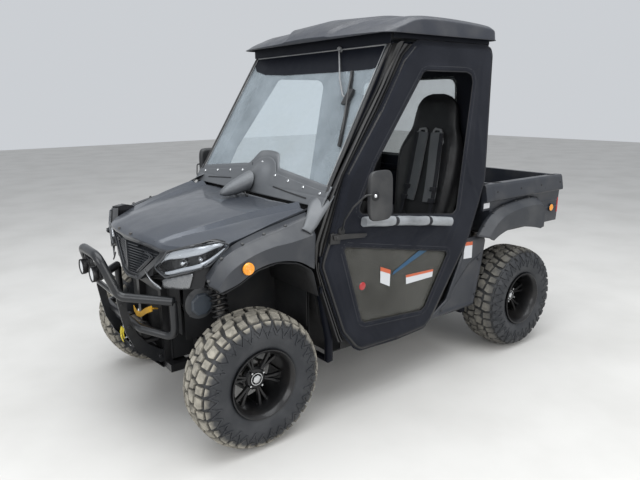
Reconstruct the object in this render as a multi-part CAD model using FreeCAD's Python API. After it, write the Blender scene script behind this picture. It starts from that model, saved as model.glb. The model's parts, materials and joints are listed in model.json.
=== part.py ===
import FreeCAD, Part
import math
import os

# Side-by-side utility vehicle with a soft-door cab and a tipping cargo bed. Millimetres.
# X points forward, Y to the vehicle's left, Z up; the origin is on the ground, midway along it.

V = FreeCAD.Vector

# Wheels
wheelbase = 1950.0
front_axle_x = 930.0
rear_axle_x = front_axle_x - wheelbase
tyre_radius = 330.0
front_tyre_width = 229.0
rear_tyre_width = 279.0
front_tyre_y = 610.0
rear_tyre_y = 617.0
bead_radius = 152.0
rim_flange_radius = 169.0
rim_wall = 5.0
front_rim_width = 202.0
rear_rim_width = 250.0
spoke_pairs = 6
hub_radius = 40.0
hub_cap_radius = 26.0
hub_bore_radius = 14.0
lug_pitches = 17
lug_height = 14.0
bore_clearance = 0.05

# Clearances between neighbours
seat_gap = 0.3
swing_gap = 6.0

# Chassis and cab structure
rail_size = 40.0
rail_y = 215.0
rail_z = tyre_radius - 30.0
rail_front_x = 1180.0
rail_rear_x = rear_axle_x - 330.0
bay_y = 150.0
bay_rail_z = 700.0
bay_rail_size = 36.0
pivot_y = 262.0
pivot_radius = 18.0
arm_spread = 98.0
rear_deck_z = 700.0
cage_radius = 22.0
cage_foot_y = 640.0
cage_top_y = 606.0
cage_top_z = 1862.0
cage_rear_x = -628.0
cage_leg_x = 500.0
cage_rear_foot_y = 590.0
sheet_wall = 4.0
floor_z = rail_z + rail_size / 2 + seat_gap
floor_front_x = 470.0
cab_half_width = 612.0
riser_front_x = -80.0
riser_rear_x = -560.0
riser_z = 640.0

# Windscreen plane: bottom and top of the glass, from the side
glass_bottom = (512.0, 1171.0)
glass_top = (90.0, 1867.0)
glass_half_bottom = 655.0
glass_half_top = 620.0
glass_wall = 5.0
screen_rim = 26.0
screen_rim_depth = 14.0
cowl_wall = 4.0
hump_radius = 205.0
hump_foot = 84.0
hump_rise = 94.0

# Roof
roof_front_x = 173.0
roof_rear_x = -690.0
roof_half_width = 693.0
roof_low_z = 1914.0
header_drop = 28.0
roof_wall = 5.0

# Hood and front body
hood_wall = 3.5
hood_front_x = 1283.0
hood_rear_x = 574.0
hood_hinge = (1272.0, 972.0)
hood_pin_radius = 5.0
scoop_length = 176.0
scoop_radius = 58.0
grille_depth = 22.0
grille_border = 44.0
slat_count = 10
slat_pitch = 13.0
slat_height = 7.0
lamp_depth = 75.0
lens_wall = 3.0

# Front protection
bar_radius = 22.0
bar_end_y = 392.0
spot_radius = 38.0
spot_y = 84.0
spot_face_x = 1476.0
spot_z = 813.0

# Steering
kingpin_y = 545.0
kingpin_radius = 9.0
steer_arm = 80.0
steering_wheel_radius = 178.0
steering_wheel_hub = (118.0, 338.0, 1185.0)
steering_tilt = 35.0

# Doors
door_outer_y = 706.0
door_top_y = 670.0
door_sheet = 7.0
door_hem = 30.0
door_hem_depth = 24.0
door_break_z = 1000.0
door_top_z = 1893.0
door_hinge_x = 596.0
door_hinge_radius = 8.0
door_pin_radius = 4.0

# Cargo bed
bed_front_x = -722.0
bed_rear_x = rear_axle_x - 450.0
bed_floor_z = 796.0
bed_top_z = 1100.0
bed_inner_y = 628.0
bed_side_y = 674.0
bed_band_y = 702.0
bed_band_z = 1003.0
bed_hinge = (rear_axle_x - 310.0, 742.0)
bed_hinge_radius = 11.0
gate_half_width = bed_inner_y - swing_gap
gate_thick = 26.0
gate_hinge = (bed_rear_x + 11.0, 806.0)

# Bench of two bucket seats
seat_y = 326.0
seat_width = 470.0


def box(x0, x1, y0, y1, z0, z1):
    return Part.makeBox(x1 - x0, y1 - y0, z1 - z0, V(x0, y0, z0))


def rod(a, b, radius):
    start = V(*a)
    run = V(*b) - start
    return Part.makeCylinder(radius, run.Length, start, run)


def hollow_rod(a, b, outer, inner):
    return rod(a, b, outer).cut(rod(a, b, inner))


def side_wire(points, y):
    loop = [V(x, y, z) for x, z in points]
    return Part.makePolygon(loop + loop[:1])


def side_prism(points, y0, y1):
    return Part.Face(side_wire(points, y0)).extrude(V(0, y1 - y0, 0))


def front_prism(points, x0, x1):
    loop = [V(x0, y, z) for y, z in points]
    return Part.Face(Part.makePolygon(loop + loop[:1])).extrude(V(x1 - x0, 0, 0))


def plan_prism(points, z0, z1):
    loop = [V(x, y, z0) for x, y in points]
    return Part.Face(Part.makePolygon(loop + loop[:1])).extrude(V(0, 0, z1 - z0))


def mirrored(shape):
    return shape.mirror(V(0, 0, 0), V(0, 1, 0))


def outward(shape):
    """The same solid with its faces pointing out."""
    solid = Part.Solid(shape.Shells[0])
    if solid.Volume < 0:
        solid.reverse()
    return solid


def both(shape):
    return Part.makeCompound([shape, mirrored(shape)])


def fuse(shapes):
    if len(shapes) == 1:
        return shapes[0]
    return shapes[0].multiFuse(shapes[1:]).removeSplitter()


def pipe(points, radius, bend):
    """Round tube along straight runs joined by tangent arcs."""
    corners = [V(*p) for p in points]
    edges = []
    start = corners[0]
    for before, corner, after in zip(corners, corners[1:], corners[2:]):
        back = (before - corner).normalize()
        on = (after - corner).normalize()
        half = back.getAngle(on) / 2.0
        reach = min(bend / math.tan(half), 0.45 * (before - corner).Length,
                    0.45 * (after - corner).Length)
        arc_radius = reach * math.tan(half)
        middle = (back + on).normalize()
        centre = corner + middle * (arc_radius / math.sin(half))
        arc_in = corner + back * reach
        arc_out = corner + on * reach
        edges.append(Part.LineSegment(start, arc_in).toShape())
        edges.append(Part.Arc(arc_in, centre - middle * arc_radius, arc_out).toShape())
        start = arc_out
    edges.append(Part.LineSegment(start, corners[-1]).toShape())
    first = (corners[1] - corners[0]).normalize()
    ring = Part.Wire(Part.makeCircle(radius, corners[0], first))
    return Part.Wire(edges).makePipeShell([ring], True, True)


def offset_profile(points, wall):
    """The open profile (y, z) moved to its underside by one wall."""
    moved = []
    for i, (y, z) in enumerate(points):
        prev_point = points[max(i - 1, 0)]
        next_point = points[min(i + 1, len(points) - 1)]
        dy = next_point[0] - prev_point[0]
        dz = next_point[1] - prev_point[1]
        size = math.hypot(dy, dz)
        moved.append((y + dz / size * wall, z - dy / size * wall))
    return moved


def ruled_skin(stations, wall):
    """Shell lofted over half profiles (y, z), from the middle outwards, at stations along X."""
    wires = []
    for x, half in stations:
        full = [(-y, z) for y, z in reversed(half[1:])] + half
        under = offset_profile(full, wall)
        loop = [V(x, y, z) for y, z in full] + [V(x, y, z) for y, z in reversed(under)]
        wires.append(Part.makePolygon(loop + loop[:1]))
    return Part.makeLoft(wires, True, True)


def arch(outline_in, outline_out, y_inner, y_outer):
    """Flare lofted between two closed outlines (x, z) at two depths along Y."""
    return outward(Part.makeLoft([side_wire(outline_in, y_inner), side_wire(outline_out, y_outer)], True, True))


def glass_point(y, along, out=0.0):
    """Point on the windscreen plane: along it from the bottom edge, and proud of it."""
    run_x = glass_top[0] - glass_bottom[0]
    run_z = glass_top[1] - glass_bottom[1]
    size = math.hypot(run_x, run_z)
    return V(glass_bottom[0] + run_x / size * along + run_z / size * out, y,
             glass_bottom[1] + run_z / size * along - run_x / size * out)


glass_length = math.hypot(glass_top[0] - glass_bottom[0], glass_top[1] - glass_bottom[1])


def glass_plate(outline, out0, out1):
    """Plate in the windscreen plane from an outline of (y, along) points."""
    loop = [glass_point(y, along, out0) for y, along in outline]
    face = Part.Face(Part.makePolygon(loop + loop[:1]))
    return face.extrude(glass_point(0, 0, out1) - glass_point(0, 0, out0))


def grow(outline, margin):
    """Outline of a symmetric trapezoid (y, along), grown on every side."""
    (y0, a0), (y1, a1) = outline[0], outline[1]
    return [(y0 + margin, a0 - margin), (y1 + margin, a1 + margin),
            (-y1 - margin, a1 + margin), (-y0 - margin, a0 - margin)]


# Wheels and tyres

def turned(points, centre, flip=1.0):
    """Solid of revolution about a Y axis from (radius, offset along Y) points."""
    loop = [V(centre[0], centre[1] + flip * y, centre[2] + r) for r, y in points]
    face = Part.Face(Part.makePolygon(loop + loop[:1]))
    return face.revolve(V(*centre), V(0, 1, 0), 360)


def facets(rings):
    """Solid of flat triangles between closed rings of points, the last ring joined to the first."""
    faces = []
    def triangle(a, b, c):
        faces.append(Part.Face(Part.makePolygon([a, b, c, a])))
    for ring, other in zip(rings, rings[1:] + rings[:1]):
        n, m = len(ring), len(other)
        if n == m:
            for i in range(n):
                k = (i + 1) % n
                triangle(ring[i], ring[k], other[k])
                triangle(ring[i], other[k], other[i])
        else:
            wide, narrow = (ring, other) if n > m else (other, ring)
            for i in range(len(narrow)):
                k = (i + 1) % len(narrow)
                a, b, c = wide[2 * i], wide[2 * i + 1], wide[(2 * i + 2) % len(wide)]
                triangle(a, b, narrow[i])
                triangle(b, narrow[k], narrow[i])
                triangle(b, c, narrow[k])
    solid = Part.Solid(Part.Shell(faces))
    if solid.Volume < 0:
        solid.reverse()
    return solid


def tyre(centre, width):
    """Carcass with staggered, slanted shoulder lugs whose inner ends meet along the middle."""
    half = width / 2.0
    steps = 4 * lug_pitches
    floor = tyre_radius - lug_height
    bulge = tyre_radius - 95
    even = 1.0 / math.cos(2.0 * math.pi / steps)
    # (offset along Y, radius on a lug, radius in a gap, lead of the lug along the turn, every which step)
    rows = [(-0.78 * half, bead_radius * even, bead_radius * even, 0.0, 2),
            (-0.90 * half, rim_flange_radius + 14, rim_flange_radius + 14, 0.0, 2),
            (-half, bulge, bulge, 0.0, 2),
            (-0.96 * half, tyre_radius - 46, tyre_radius - 50, 0.0, 1),
            (-0.84 * half, tyre_radius - 7, floor - 6, 0.0, 1),
            (-0.06 * half, tyre_radius, floor, 0.55, 1),
            (0.06 * half, tyre_radius, floor, 0.55, 1),
            (0.84 * half, tyre_radius - 7, floor - 6, 0.0, 1),
            (0.96 * half, tyre_radius - 46, tyre_radius - 50, 0.0, 1),
            (half, bulge, bulge, 0.0, 2),
            (0.90 * half, rim_flange_radius + 14, rim_flange_radius + 14, 0.0, 2),
            (0.78 * half, bead_radius * even, bead_radius * even, 0.0, 2)]
    rings = []
    for y, on_lug, in_gap, lead, every in rows:
        ring = []
        for i in range(0, steps, every):
            share = (0.0, 0.42, 0.5, 0.92)[i % 4]
            lug = i % 4 < 2 if y < 0 else i % 4 > 1
            turn = 2.0 * math.pi * (i // 4 + share + lead) / lug_pitches - math.pi / 2.0
            radius = on_lug if lug else in_gap
            ring.append(V(centre[0] + radius * math.cos(turn), centre[1] + y, centre[2] + radius * math.sin(turn)))
        rings.append(ring)
    return facets(rings)


def rim(centre, width, tyre_width, side):
    """Wheel with a drop-in barrel, paired spokes and a hub; side is +1 on the left."""
    half = width / 2.0
    seat = bead_radius - seat_gap
    bead = 0.78 * tyre_width / 2.0
    barrel = [(seat, -bead), (seat, bead), (rim_flange_radius, 0.90 * tyre_width / 2.0 + seat_gap),
              (rim_flange_radius, half), (rim_flange_radius - rim_wall, half),
              (seat - rim_wall, bead - rim_wall), (seat - rim_wall, -bead)]
    pieces = [turned(barrel, centre, side)]
    face = 0.30 * half
    hub = turned([(0, face - 42), (hub_radius + 16, face - 42), (hub_radius + 16, face - 8),
                  (hub_radius, face), (hub_cap_radius, face), (hub_cap_radius, face + 16),
                  (0, face + 16)], centre, side)
    pieces.append(hub)
    for i in range(spoke_pairs):
        for lean in (-1, 1):
            turn = 360.0 * i / spoke_pairs + lean * 9.0
            outline = [(hub_radius - 6, -9), (seat - 2, -8), (seat - 2, 8), (hub_radius - 6, 9)]
            y0 = centre[1] + side * (face - 30)
            loop = [V(centre[0] + x, y0, centre[2] + r) for r, x in outline]
            spoke = Part.Face(Part.makePolygon(loop + loop[:1])).extrude(V(0, side * 24, 0))
            spoke.rotate(V(*centre), V(0, 1, 0), turn)
            pieces.append(spoke)
    whole = fuse(pieces)
    axle = rod((centre[0], centre[1] - side * half, centre[2]),
               (centre[0], centre[1] + side * (face - 12), centre[2]), hub_bore_radius + bore_clearance)
    return whole.cut(axle)


# Chassis

def rail(a, b, size=rail_size):
    """Square tube from a to b, which lie on one axis line or slope in XZ."""
    half = size / 2.0
    (x0, y0, z0), (x1, y1, z1) = a, b
    run = V(x1 - x0, y1 - y0, z1 - z0)
    bar = Part.makeBox(size, size, run.Length, V(-half, -half, 0))
    bar.Placement = FreeCAD.Placement(V(*a), FreeCAD.Rotation(V(0, 0, 1), run))
    return bar


def post(x, y0, y1, z0, z1, length):
    return box(x - length / 2, x + length / 2, min(y0, y1), max(y0, y1), z0, z1)


def chassis_frame():
    pieces = []
    tube = bay_rail_size
    for s in (1, -1):
        y = s * rail_y
        b = s * bay_y
        pieces.append(rail((rail_rear_x, y, rail_z), (rail_front_x, y, rail_z)))
        pieces.append(rail((700, b, bay_rail_z), (rail_front_x, b, bay_rail_z), tube))
        for x in (rail_front_x - tube / 2, 718):
            pieces.append(rail((x, b, rail_z), (x, b, bay_rail_z + tube / 2), tube))
        for x in (-640, rear_post_x):
            pieces.append(rail((x, y, rail_z), (x, y, rear_deck_z), tube))
        pieces.append(rail((-622, y, rear_deck_z), (rail_rear_x, y, rear_deck_z), tube))
        for axle_x in (front_axle_x, rear_axle_x):
            for way in (1, -1):
                pieces.append(post(axle_x + way * arm_spread, s * rail_y, s * (pivot_y - pivot_radius - seat_gap),
                                   rail_z, 470, 40))
        pieces.append(post(shock_x, s * (bay_y - 18), s * (bay_y + 18), bay_rail_z, shock_top_z + 12, 44))
        pieces.append(post(shock_x, s * (bay_y - 18), s * 392, shock_top_z, shock_top_z + 12, 44))
        pieces.append(post(rear_shock_x, s * rail_y, s * 392, rear_deck_z + tube / 2 - 8, rear_deck_z + tube / 2, 44))
        ear = pivot_y + 6
        pieces.append(box(bed_hinge[0] - 20, bed_hinge[0] + 20, min(s * 200, s * (ear + 6)), max(s * 200, s * (ear + 6)),
                          rear_deck_z + tube / 2 - 6, rear_deck_z + tube / 2))
        pieces.append(post(bed_hinge[0], s * (ear - 6), s * (ear + 6), rear_deck_z + tube / 2 - 2, bed_hinge[1] + 16, 30))
        pieces.append(rod((bed_hinge[0], s * 240, bed_hinge[1]), (bed_hinge[0], s * ear, bed_hinge[1]),
                          bed_hinge_radius))
        pieces.append(post(-700, s * (rail_y - 16), s * (rail_y + 16), rear_deck_z + tube / 2 - 2,
                           bed_rib_z - seat_gap, 40))
        pieces.append(post(front_axle_x - steer_arm, s * 150, s * rail_y, rail_z, rack_z - 19 - seat_gap, 24))
    for x in (rail_front_x - 18, front_axle_x + 70, 718, 420, 0, -420, -640, rear_post_x, rail_rear_x + 18):
        pieces.append(rail((x, -rail_y, rail_z), (x, rail_y, rail_z), tube))
    for x in (rail_front_x - 18, 718):
        pieces.append(rail((x, -bay_y, bay_rail_z), (x, bay_y, bay_rail_z), tube))
    for x in (-640, rear_post_x, rail_rear_x + 18):
        pieces.append(rail((x, -rail_y, rear_deck_z), (x, rail_y, rear_deck_z), tube))
    rack_way = rod((front_axle_x - steer_arm, -300, rack_z), (front_axle_x - steer_arm, 300, rack_z), 14)
    return fuse(pieces).cut(rack_way)


def tow_hitch():
    """Tongue plate with its pin hole, behind the last cross member."""
    plate = box(rail_rear_x - 80, rail_rear_x - seat_gap, -38, 38, rail_z - 10, rail_z + 2)
    hole_x = rail_rear_x - 50
    return plate.cut(rod((hole_x, 0, rail_z - 40), (hole_x, 0, rail_z + 40), hitch_hole_radius))


hitch_hole_radius = 9.6
rack_z = tyre_radius + 20 + seat_gap + 9
shock_x = front_axle_x + 44.0
rear_shock_x = rear_axle_x + 44.0
rear_post_x = rear_axle_x - 180.0
shock_foot_z = tyre_radius + 120.0
shock_top_z = 742.0
bed_rib_z = 726.0


def skid_plate():
    top = rail_z - bay_rail_size / 2 - seat_gap
    outline = [(1050, top - 5), (1186, top - 5), (1330, 425), (1326, 429), (1184, top), (1050, top)]
    return side_prism(outline, -146, 146)


def floor_pan():
    """Tub: floor, footwell wall up to the dash, seat riser and rear wall, all one moulding."""
    w = cab_half_width
    t = sheet_wall
    profile = [(riser_rear_x, riser_z + 190), (riser_rear_x, riser_z), (riser_front_x, riser_z),
               (riser_front_x, floor_z), (floor_front_x, floor_z), (545, 560), (594, 795.7)]
    outer = list(profile)
    inner = [(riser_rear_x + t, riser_z + 190), (riser_rear_x + t, riser_z + t), (riser_front_x + t, riser_z + t),
             (riser_front_x + t, floor_z + t), (floor_front_x - t * 0.6, floor_z + t),
             (545 - t, 560 + t * 0.5), (594 - t, 795.7)]
    tub = side_prism(outer + inner[::-1], -w, w)
    sills = [box(-330, 400, s * w - (t if s > 0 else 0), s * w + (0 if s > 0 else t), floor_z, 430) for s in (1, -1)]
    riser_sides = [box(riser_rear_x, riser_front_x, s * w - (t if s > 0 else 0), s * w + (0 if s > 0 else t),
                       floor_z, riser_z + t) for s in (1, -1)]
    return fuse([tub] + sills + riser_sides)


def side_panels():
    """Rocker and rear corner panel below the door, in front of the rear wheel."""
    rear = rear_axle_x + tyre_radius
    face_y = cab_half_width + 52
    edge_y = cab_half_width + 28
    outline = [(-210, 345), (-372, 440), (-530, 700), (-560, 790), (rear - 10, 786), (rear - 26, 752), (rear, 600),
               (rear + 58, 352)]
    outer = side_prism(outline, edge_y, face_y)
    inner = side_prism([(-235, 352), (-372, 450), (-520, 700), (-545, 780), (rear - 2, 776), (rear - 16, 752),
                        (rear + 8, 600), (rear + 64, 358)], edge_y - 1, face_y - sheet_wall)
    bracket = box(-520, -480, cab_half_width, face_y - sheet_wall, 560, 600)
    return both(fuse([outer.cut(inner), bracket]))


def roll_cage():
    pieces = []
    r = cage_radius
    foot = (597, cage_foot_y, 960)
    leg = (cage_leg_x, cage_foot_y, 420)
    base = (cage_leg_x, cage_foot_y, rail_z)
    top_front = (50, cage_top_y, cage_top_z)
    top_rear = (cage_rear_x, cage_top_y, cage_top_z)
    mid_rear = (cage_rear_x, cage_foot_y, 1150)
    foot_rear = (-600, cage_rear_foot_y, 700)
    base_rear = (-600, cage_rear_foot_y, rail_z)
    reach = rail_y + rail_size / 2 + seat_gap
    for s in (1, -1):
        run = (base, leg, foot, top_front, top_rear, mid_rear, foot_rear, base_rear)
        pieces.append(pipe([(x, s * y, z) for x, y, z in run], r, 90))
        for x, y in ((cage_leg_x, cage_foot_y), (-600, cage_rear_foot_y)):
            pieces.append(rod((x, s * reach, rail_z), (x, s * y, rail_z), 16))
        pieces.append(hinge_knuckles(s))
    low = 0.8 * r
    for x, z, y in ((20, cage_top_z, cage_top_y), (cage_rear_x + 20, cage_top_z, cage_top_y),
                    (cage_rear_x, 1150, cage_foot_y)):
        pieces.append(rod((x, -y, z), (x, y, z), low))
    return fuse(pieces)


def leg_x(z):
    """Where the cage's front leg stands at a height."""
    return cage_leg_x + (597 - cage_leg_x) * (z - 420) / (960 - 420)


def hinge_knuckles(s):
    """Fixed halves of a door's two hinges: a bored knuckle on an arm from the cage's leg."""
    y = s * door_outer_y
    pieces = []
    for z in door_hinge_levels:
        barrel = hollow_rod((door_hinge_x, y, z - 30), (door_hinge_x, y, z), door_hinge_radius,
                            door_pin_radius + bore_clearance)
        arm = rod((leg_x(z - 15), s * cage_foot_y, z - 15), (door_hinge_x, y, z - 15), 6)
        arm = arm.cut(rod((door_hinge_x, y, z - 40), (door_hinge_x, y, z + 10), door_hinge_radius - 1))
        pieces += [barrel, arm]
    return fuse(pieces)


door_hinge_levels = (730.0, 880.0)


# (place along X, [(share of the half width, height above the low edge)])
roof_stations = [
    (roof_front_x, [(0, 23), (0.274, 20), (0.335, 14), (0.75, 9), (0.924, 6), (0.984, 3)]),
    (118, [(0, 67), (0.296, 63), (0.355, 48), (0.779, 40), (0.929, 32), (0.984, 20)]),
    (50, [(0, 104), (0.404, 96), (0.465, 78), (0.823, 68), (0.941, 58), (0.987, 40)]),
    (-30, [(0, 132), (0.505, 116), (0.566, 98), (0.851, 92), (0.947, 86), (0.988, 66)]),
    (-150, [(0, 148), (0.577, 126), (0.638, 108), (0.866, 102), (0.947, 95), (0.988, 76)]),
    (-400, [(0, 148), (0.62, 122), (0.678, 106), (0.866, 100), (0.947, 92), (0.988, 72)]),
    (roof_rear_x + 50, [(0, 122), (0.62, 100), (0.678, 89), (0.866, 85), (0.944, 76), (0.987, 56)]),
    (roof_rear_x, [(0, 80), (0.62, 66), (0.678, 58), (0.866, 53), (0.938, 44), (0.981, 30)]),
]


def roof_form(inset, low):
    """The roof's outer form, closed at its low edge, or the hollow one wall inside it."""
    wires = []
    for i, (x, half) in enumerate(roof_stations):
        half = [(y * roof_half_width, roof_low_z + rise) for y, rise in half + [(1.0, 0.0)]]
        full = [(-y, z) for y, z in reversed(half[1:])] + half
        if inset:
            full = offset_profile(full, inset)
            x -= inset if i == 0 else -inset if i == len(roof_stations) - 1 else 0.0
        y_low = full[-1][0]
        loop = [V(x, -y_low, low)] + [V(x, y, z) for y, z in full[1:-1]] + [V(x, y_low, low)]
        wires.append(Part.makePolygon(loop + loop[:1]))
    return Part.makeLoft(wires, True, True)


def roof_panel():
    """Shell with its visor, a header board over the windscreen and four feet on the cage."""
    edge = roof_half_width + 1
    corners = [(roof_front_x + 1, edge - 74), (roof_front_x - 26, edge - 18), (roof_front_x - 90, edge),
               (roof_rear_x + 50, edge), (roof_rear_x - 1, edge - 54)]
    plan = plan_prism(corners + [(x, -y) for x, y in reversed(corners)], 1800, 2200)
    outer = roof_form(0, roof_low_z)
    shell = outer.cut(roof_form(roof_wall, roof_low_z - 40)).common(plan)
    board = box(102, 107, -600, 600, roof_low_z - header_drop, roof_low_z + 76)
    feet = [board.common(fuse([outer, box(90, 120, -650, 650, 1800, roof_low_z + 1)]))]
    for x in (20, cage_rear_x + 20):
        for s in (1, -1):
            low = cage_top_z + 0.8 * cage_radius + seat_gap
            block = box(x - 30, x + 30, s * 420 - 30, s * 420 + 30, low, roof_low_z + 146)
            feet.append(block.common(fuse([outer, box(-700, 200, -650, 650, 1800, roof_low_z + 1)])))
    return fuse([shell] + feet)


screen_outline = [(glass_half_bottom, 0.0), (glass_half_top, glass_length)]


def windscreen_frame():
    outer = glass_plate(grow(screen_outline, 12), -screen_rim_depth, 0)
    inner = glass_plate(grow(screen_outline, -screen_rim), -screen_rim_depth - 1, 1)
    return outer.cut(inner)


def windscreen_glass():
    return glass_plate(grow(screen_outline, 0), 0, glass_wall)


def cowl_panel():
    """Flat flange over the foot of the glass, with a round hump and a side tab at each end."""
    half = glass_half_bottom + 24
    steps = 10
    hump = [(hump_radius * math.cos(math.pi * i / steps), hump_foot + hump_rise * math.sin(math.pi * i / steps))
            for i in range(steps + 1)]
    side = [(half, 28), (310, hump_foot - 24)]
    outline = side + hump + [(-y, along) for y, along in reversed(side)] + [(-half, -82), (half, -82)]
    plate = glass_plate(outline, glass_wall, glass_wall + cowl_wall)
    tab = side_prism([(552, 1132), (575, 1112), (600, 1096), (662, 1004), (640, 1000), (600, 1052), (552, 1104)],
                     half - cowl_wall, half)
    return fuse([plate, tab, mirrored(tab)])


def windscreen_wiper():
    """Blade hung from the top of the glass by its cranked arm."""
    def at(y, along, lift):
        p = glass_point(y, along, glass_wall + seat_gap + lift)
        return (p.x, p.y, p.z)
    top = glass_length - 14
    spindle = rod(at(258, top, 0), at(258, top, 26), 12)
    arm = pipe([at(258, top, 20), at(388, top - 193, 20), at(495, top - 295, 18)], 5, 300)
    blade = pipe([at(445, top - 141, 7), at(516, top - 295, 8), at(562, top - 425, 8), at(608, top - 565, 7)], 6, 900)
    link = rod(at(495, top - 295, 18), at(515, top - 295, 9), 6)
    return fuse([spindle, arm, blade, link])


# Front body

hood_stations = [
    (1290, [(0, 978), (150, 975), (262, 965), (290, 962), (330, 950), (640, 905)]),
    (1160, [(0, 1022), (180, 1018), (290, 1005), (312, 1008), (340, 986), (640, 940)]),
    (1000, [(0, 1052), (200, 1047), (352, 1035), (378, 1046), (410, 1018), (640, 990)]),
    (800, [(0, 1076), (220, 1070), (410, 1066), (442, 1088), (478, 1056), (650, 1060)]),
    (hood_rear_x, [(0, 1094), (240, 1087), (486, 1094), (528, 1122), (564, 1092), (670, 1124)]),
]
hood_half_plan = [(hood_front_x, 0), (1270, 200), (1222, 376), (1125, 500), (1022, 596), (900, 612), (650, 634),
                  (612, 634), (588, 545), (hood_rear_x + 1, 400), (hood_rear_x + 1, 0)]


def hood_plan():
    return hood_half_plan + [(x, -y) for x, y in reversed(hood_half_plan[1:-1])]


def hood():
    skin = ruled_skin(hood_stations, hood_wall)
    skin = skin.common(plan_prism(hood_plan(), 700, 1300))
    x, z = hood_hinge
    pieces = [skin, rod((x, -90, z), (x, 90, z), hood_pin_radius)]
    for s in (1, -1):
        ear = box(x - 4, x + 4, min(s * 78, s * 90), max(s * 78, s * 90), z, z + 12)
        pieces.append(ear)
    return fuse(pieces)


def hood_height(x, y):
    """Height of the hood's skin at a place, from its stations."""
    for (xa, pa), (xb, pb) in zip(hood_stations, hood_stations[1:]):
        if xb <= x <= xa:
            share = (xa - x) / (xa - xb)
            levels = []
            for profile in (pa, pb):
                for (ya, za), (yb, zb) in zip(profile, profile[1:]):
                    if ya <= abs(y) <= yb:
                        levels.append(za + (zb - za) * (abs(y) - ya) / (yb - ya))
                        break
            return levels[0] + (levels[1] - levels[0]) * share
    return hood_stations[-1][1][0][1]


def intake_scoop():
    """Teardrop snorkel pod, nose forward, with its open mouth towards the windscreen."""
    nose = V(758, 0, hood_height(758, 0) + 33)
    tail = V(588, 0, 1159)
    axis = (tail - nose).normalize()
    arc = Part.Arc(V(0, 0, 0), V(70, 0, 37), V(scoop_length, 0, scoop_radius)).toShape()
    end = Part.LineSegment(V(scoop_length, 0, scoop_radius), V(scoop_length, 0, 0)).toShape()
    spine = Part.LineSegment(V(scoop_length, 0, 0), V(0, 0, 0)).toShape()
    pod = Part.Face(Part.Wire([arc, end, spine])).revolve(V(0, 0, 0), V(1, 0, 0), 360)
    mouth = Part.makeCone(18, scoop_radius - 5, 120, V(scoop_length - 119, 0, 0), V(1, 0, 0))
    pod = pod.cut(mouth)
    pod.Placement = FreeCAD.Placement(nose, FreeCAD.Rotation(V(1, 0, 0), axis))
    feet = [box(x - 12, x + 12, -14, 14, hood_height(x, 0) + seat_gap, z) for x, z in ((700, 1120), (632, 1122))]
    whole = fuse([pod] + feet)
    under = ruled_skin([(x, [(y, z + seat_gap) for y, z in half]) for x, half in hood_stations], 60)
    return whole.cut(under)


def grille():
    """V-fronted shield: a deep border, thin louvres, a centre rib and brackets to the chassis."""
    front = hood_front_x - 3
    outline = [(0, 962), (372, 932), (112, 752), (-112, 752), (-372, 932)]
    opening = [(0, 936), (285, 911), (96, 776), (-96, 776), (-285, 911)]
    ring = front_prism(outline, 1100, 1400).cut(front_prism(opening, 1090, 1410))
    wedge = plan_prism([(front, 0), (1220, 376), (1220 - grille_depth, 376), (front - grille_depth, 0),
                        (1220 - grille_depth, -376), (1220, -376)], 700, 1000)
    thin = plan_prism([(front - 6, 0), (1214, 376), (1204, 376), (front - 16, 0), (1204, -376), (1214, -376)],
                      700, 1000)
    pieces = [wedge.common(ring)]
    for i in range(slat_count):
        z = 786.0 + i * slat_pitch
        half = 100 + (z - 776) * 1.4
        pieces.append(box(1100, 1400, -half, half, z, z + slat_height).common(thin))
    pieces.append(box(1262, 1276, -8, 8, 770, 940))
    for s in (1, -1):
        arm = box(rail_front_x - 30, 1256, min(s * 84, s * 108), max(s * 84, s * 108), 754, 762)
        leg = box(rail_front_x - 30, rail_front_x - 22, min(s * 84, s * 108), max(s * 84, s * 108),
                  bay_rail_z + bay_rail_size / 2 + seat_gap, 762)
        pad = box(1266, 1278, min(s * 20, s * 44), max(s * 20, s * 44), 950, hood_hinge[1] - hood_pin_radius - seat_gap)
        pieces += [arm, leg, pad]
    return fuse(pieces)


lamp_side = [(1262, 800), (1248, 774), (1178, 806), (1148, 880), (1008, 978), (1110, 956), (1222, 934),
             (1262, 905)]
lamp_plan = [(1262, 262), (1226, 398), (1166, 556), (1140, 598), (1004, 616)]


def lamp_band(outer, inner):
    """Upright band that follows the lamp's plan line, from one depth behind it to another."""
    lean = 0.62
    front = [(x - outer, y - outer * lean) for x, y in lamp_plan]
    back = [(x - inner, y - inner * lean) for x, y in lamp_plan]
    return plan_prism(front + back[::-1], 700, 1020)


lamp_gate = [(382, 1020), (373.2, 932), (113.2, 752), (113.2, 700), (900, 700), (900, 1020)]


def lamp_trim(margin):
    face = Part.Face(side_wire(lamp_side, 0))
    if margin:
        face = face.makeOffset2D(-margin, 2)
    return face.extrude(V(0, 800, 0))


def front_lamp_housings():
    gate = front_prism(lamp_gate, 900, 1400)
    body = lamp_band(lens_wall + seat_gap, lamp_depth).common(lamp_trim(0)).common(gate)
    bowl = lamp_band(lens_wall, lamp_depth - 12).common(lamp_trim(14))
    spots = rod((1446, spot_y, spot_z), (spot_face_x - 2, spot_y, spot_z), spot_radius)
    spots = spots.cut(rod((1452, spot_y, spot_z), (spot_face_x, spot_y, spot_z), spot_radius - 4))
    stem = box(1447, 1457, spot_y - 14, spot_y - 2, spot_z + spot_radius - 4, 905 - bar_radius - seat_gap)
    return Part.makeCompound([body.cut(bowl), mirrored(body.cut(bowl)), fuse([spots, stem]),
                              mirrored(fuse([spots, stem]))])


def front_lenses():
    cover = lamp_band(0, lens_wall).common(lamp_trim(0)).common(front_prism(lamp_gate, 900, 1400))
    spot = rod((spot_face_x - 8, spot_y, spot_z), (spot_face_x, spot_y, spot_z), spot_radius - 4 - seat_gap)
    marker = rod((1006, flare_y + seat_gap, 904), (1006, flare_y + 12, 904), 27)
    return Part.makeCompound([both(cover), both(spot), both(marker)])


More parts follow.
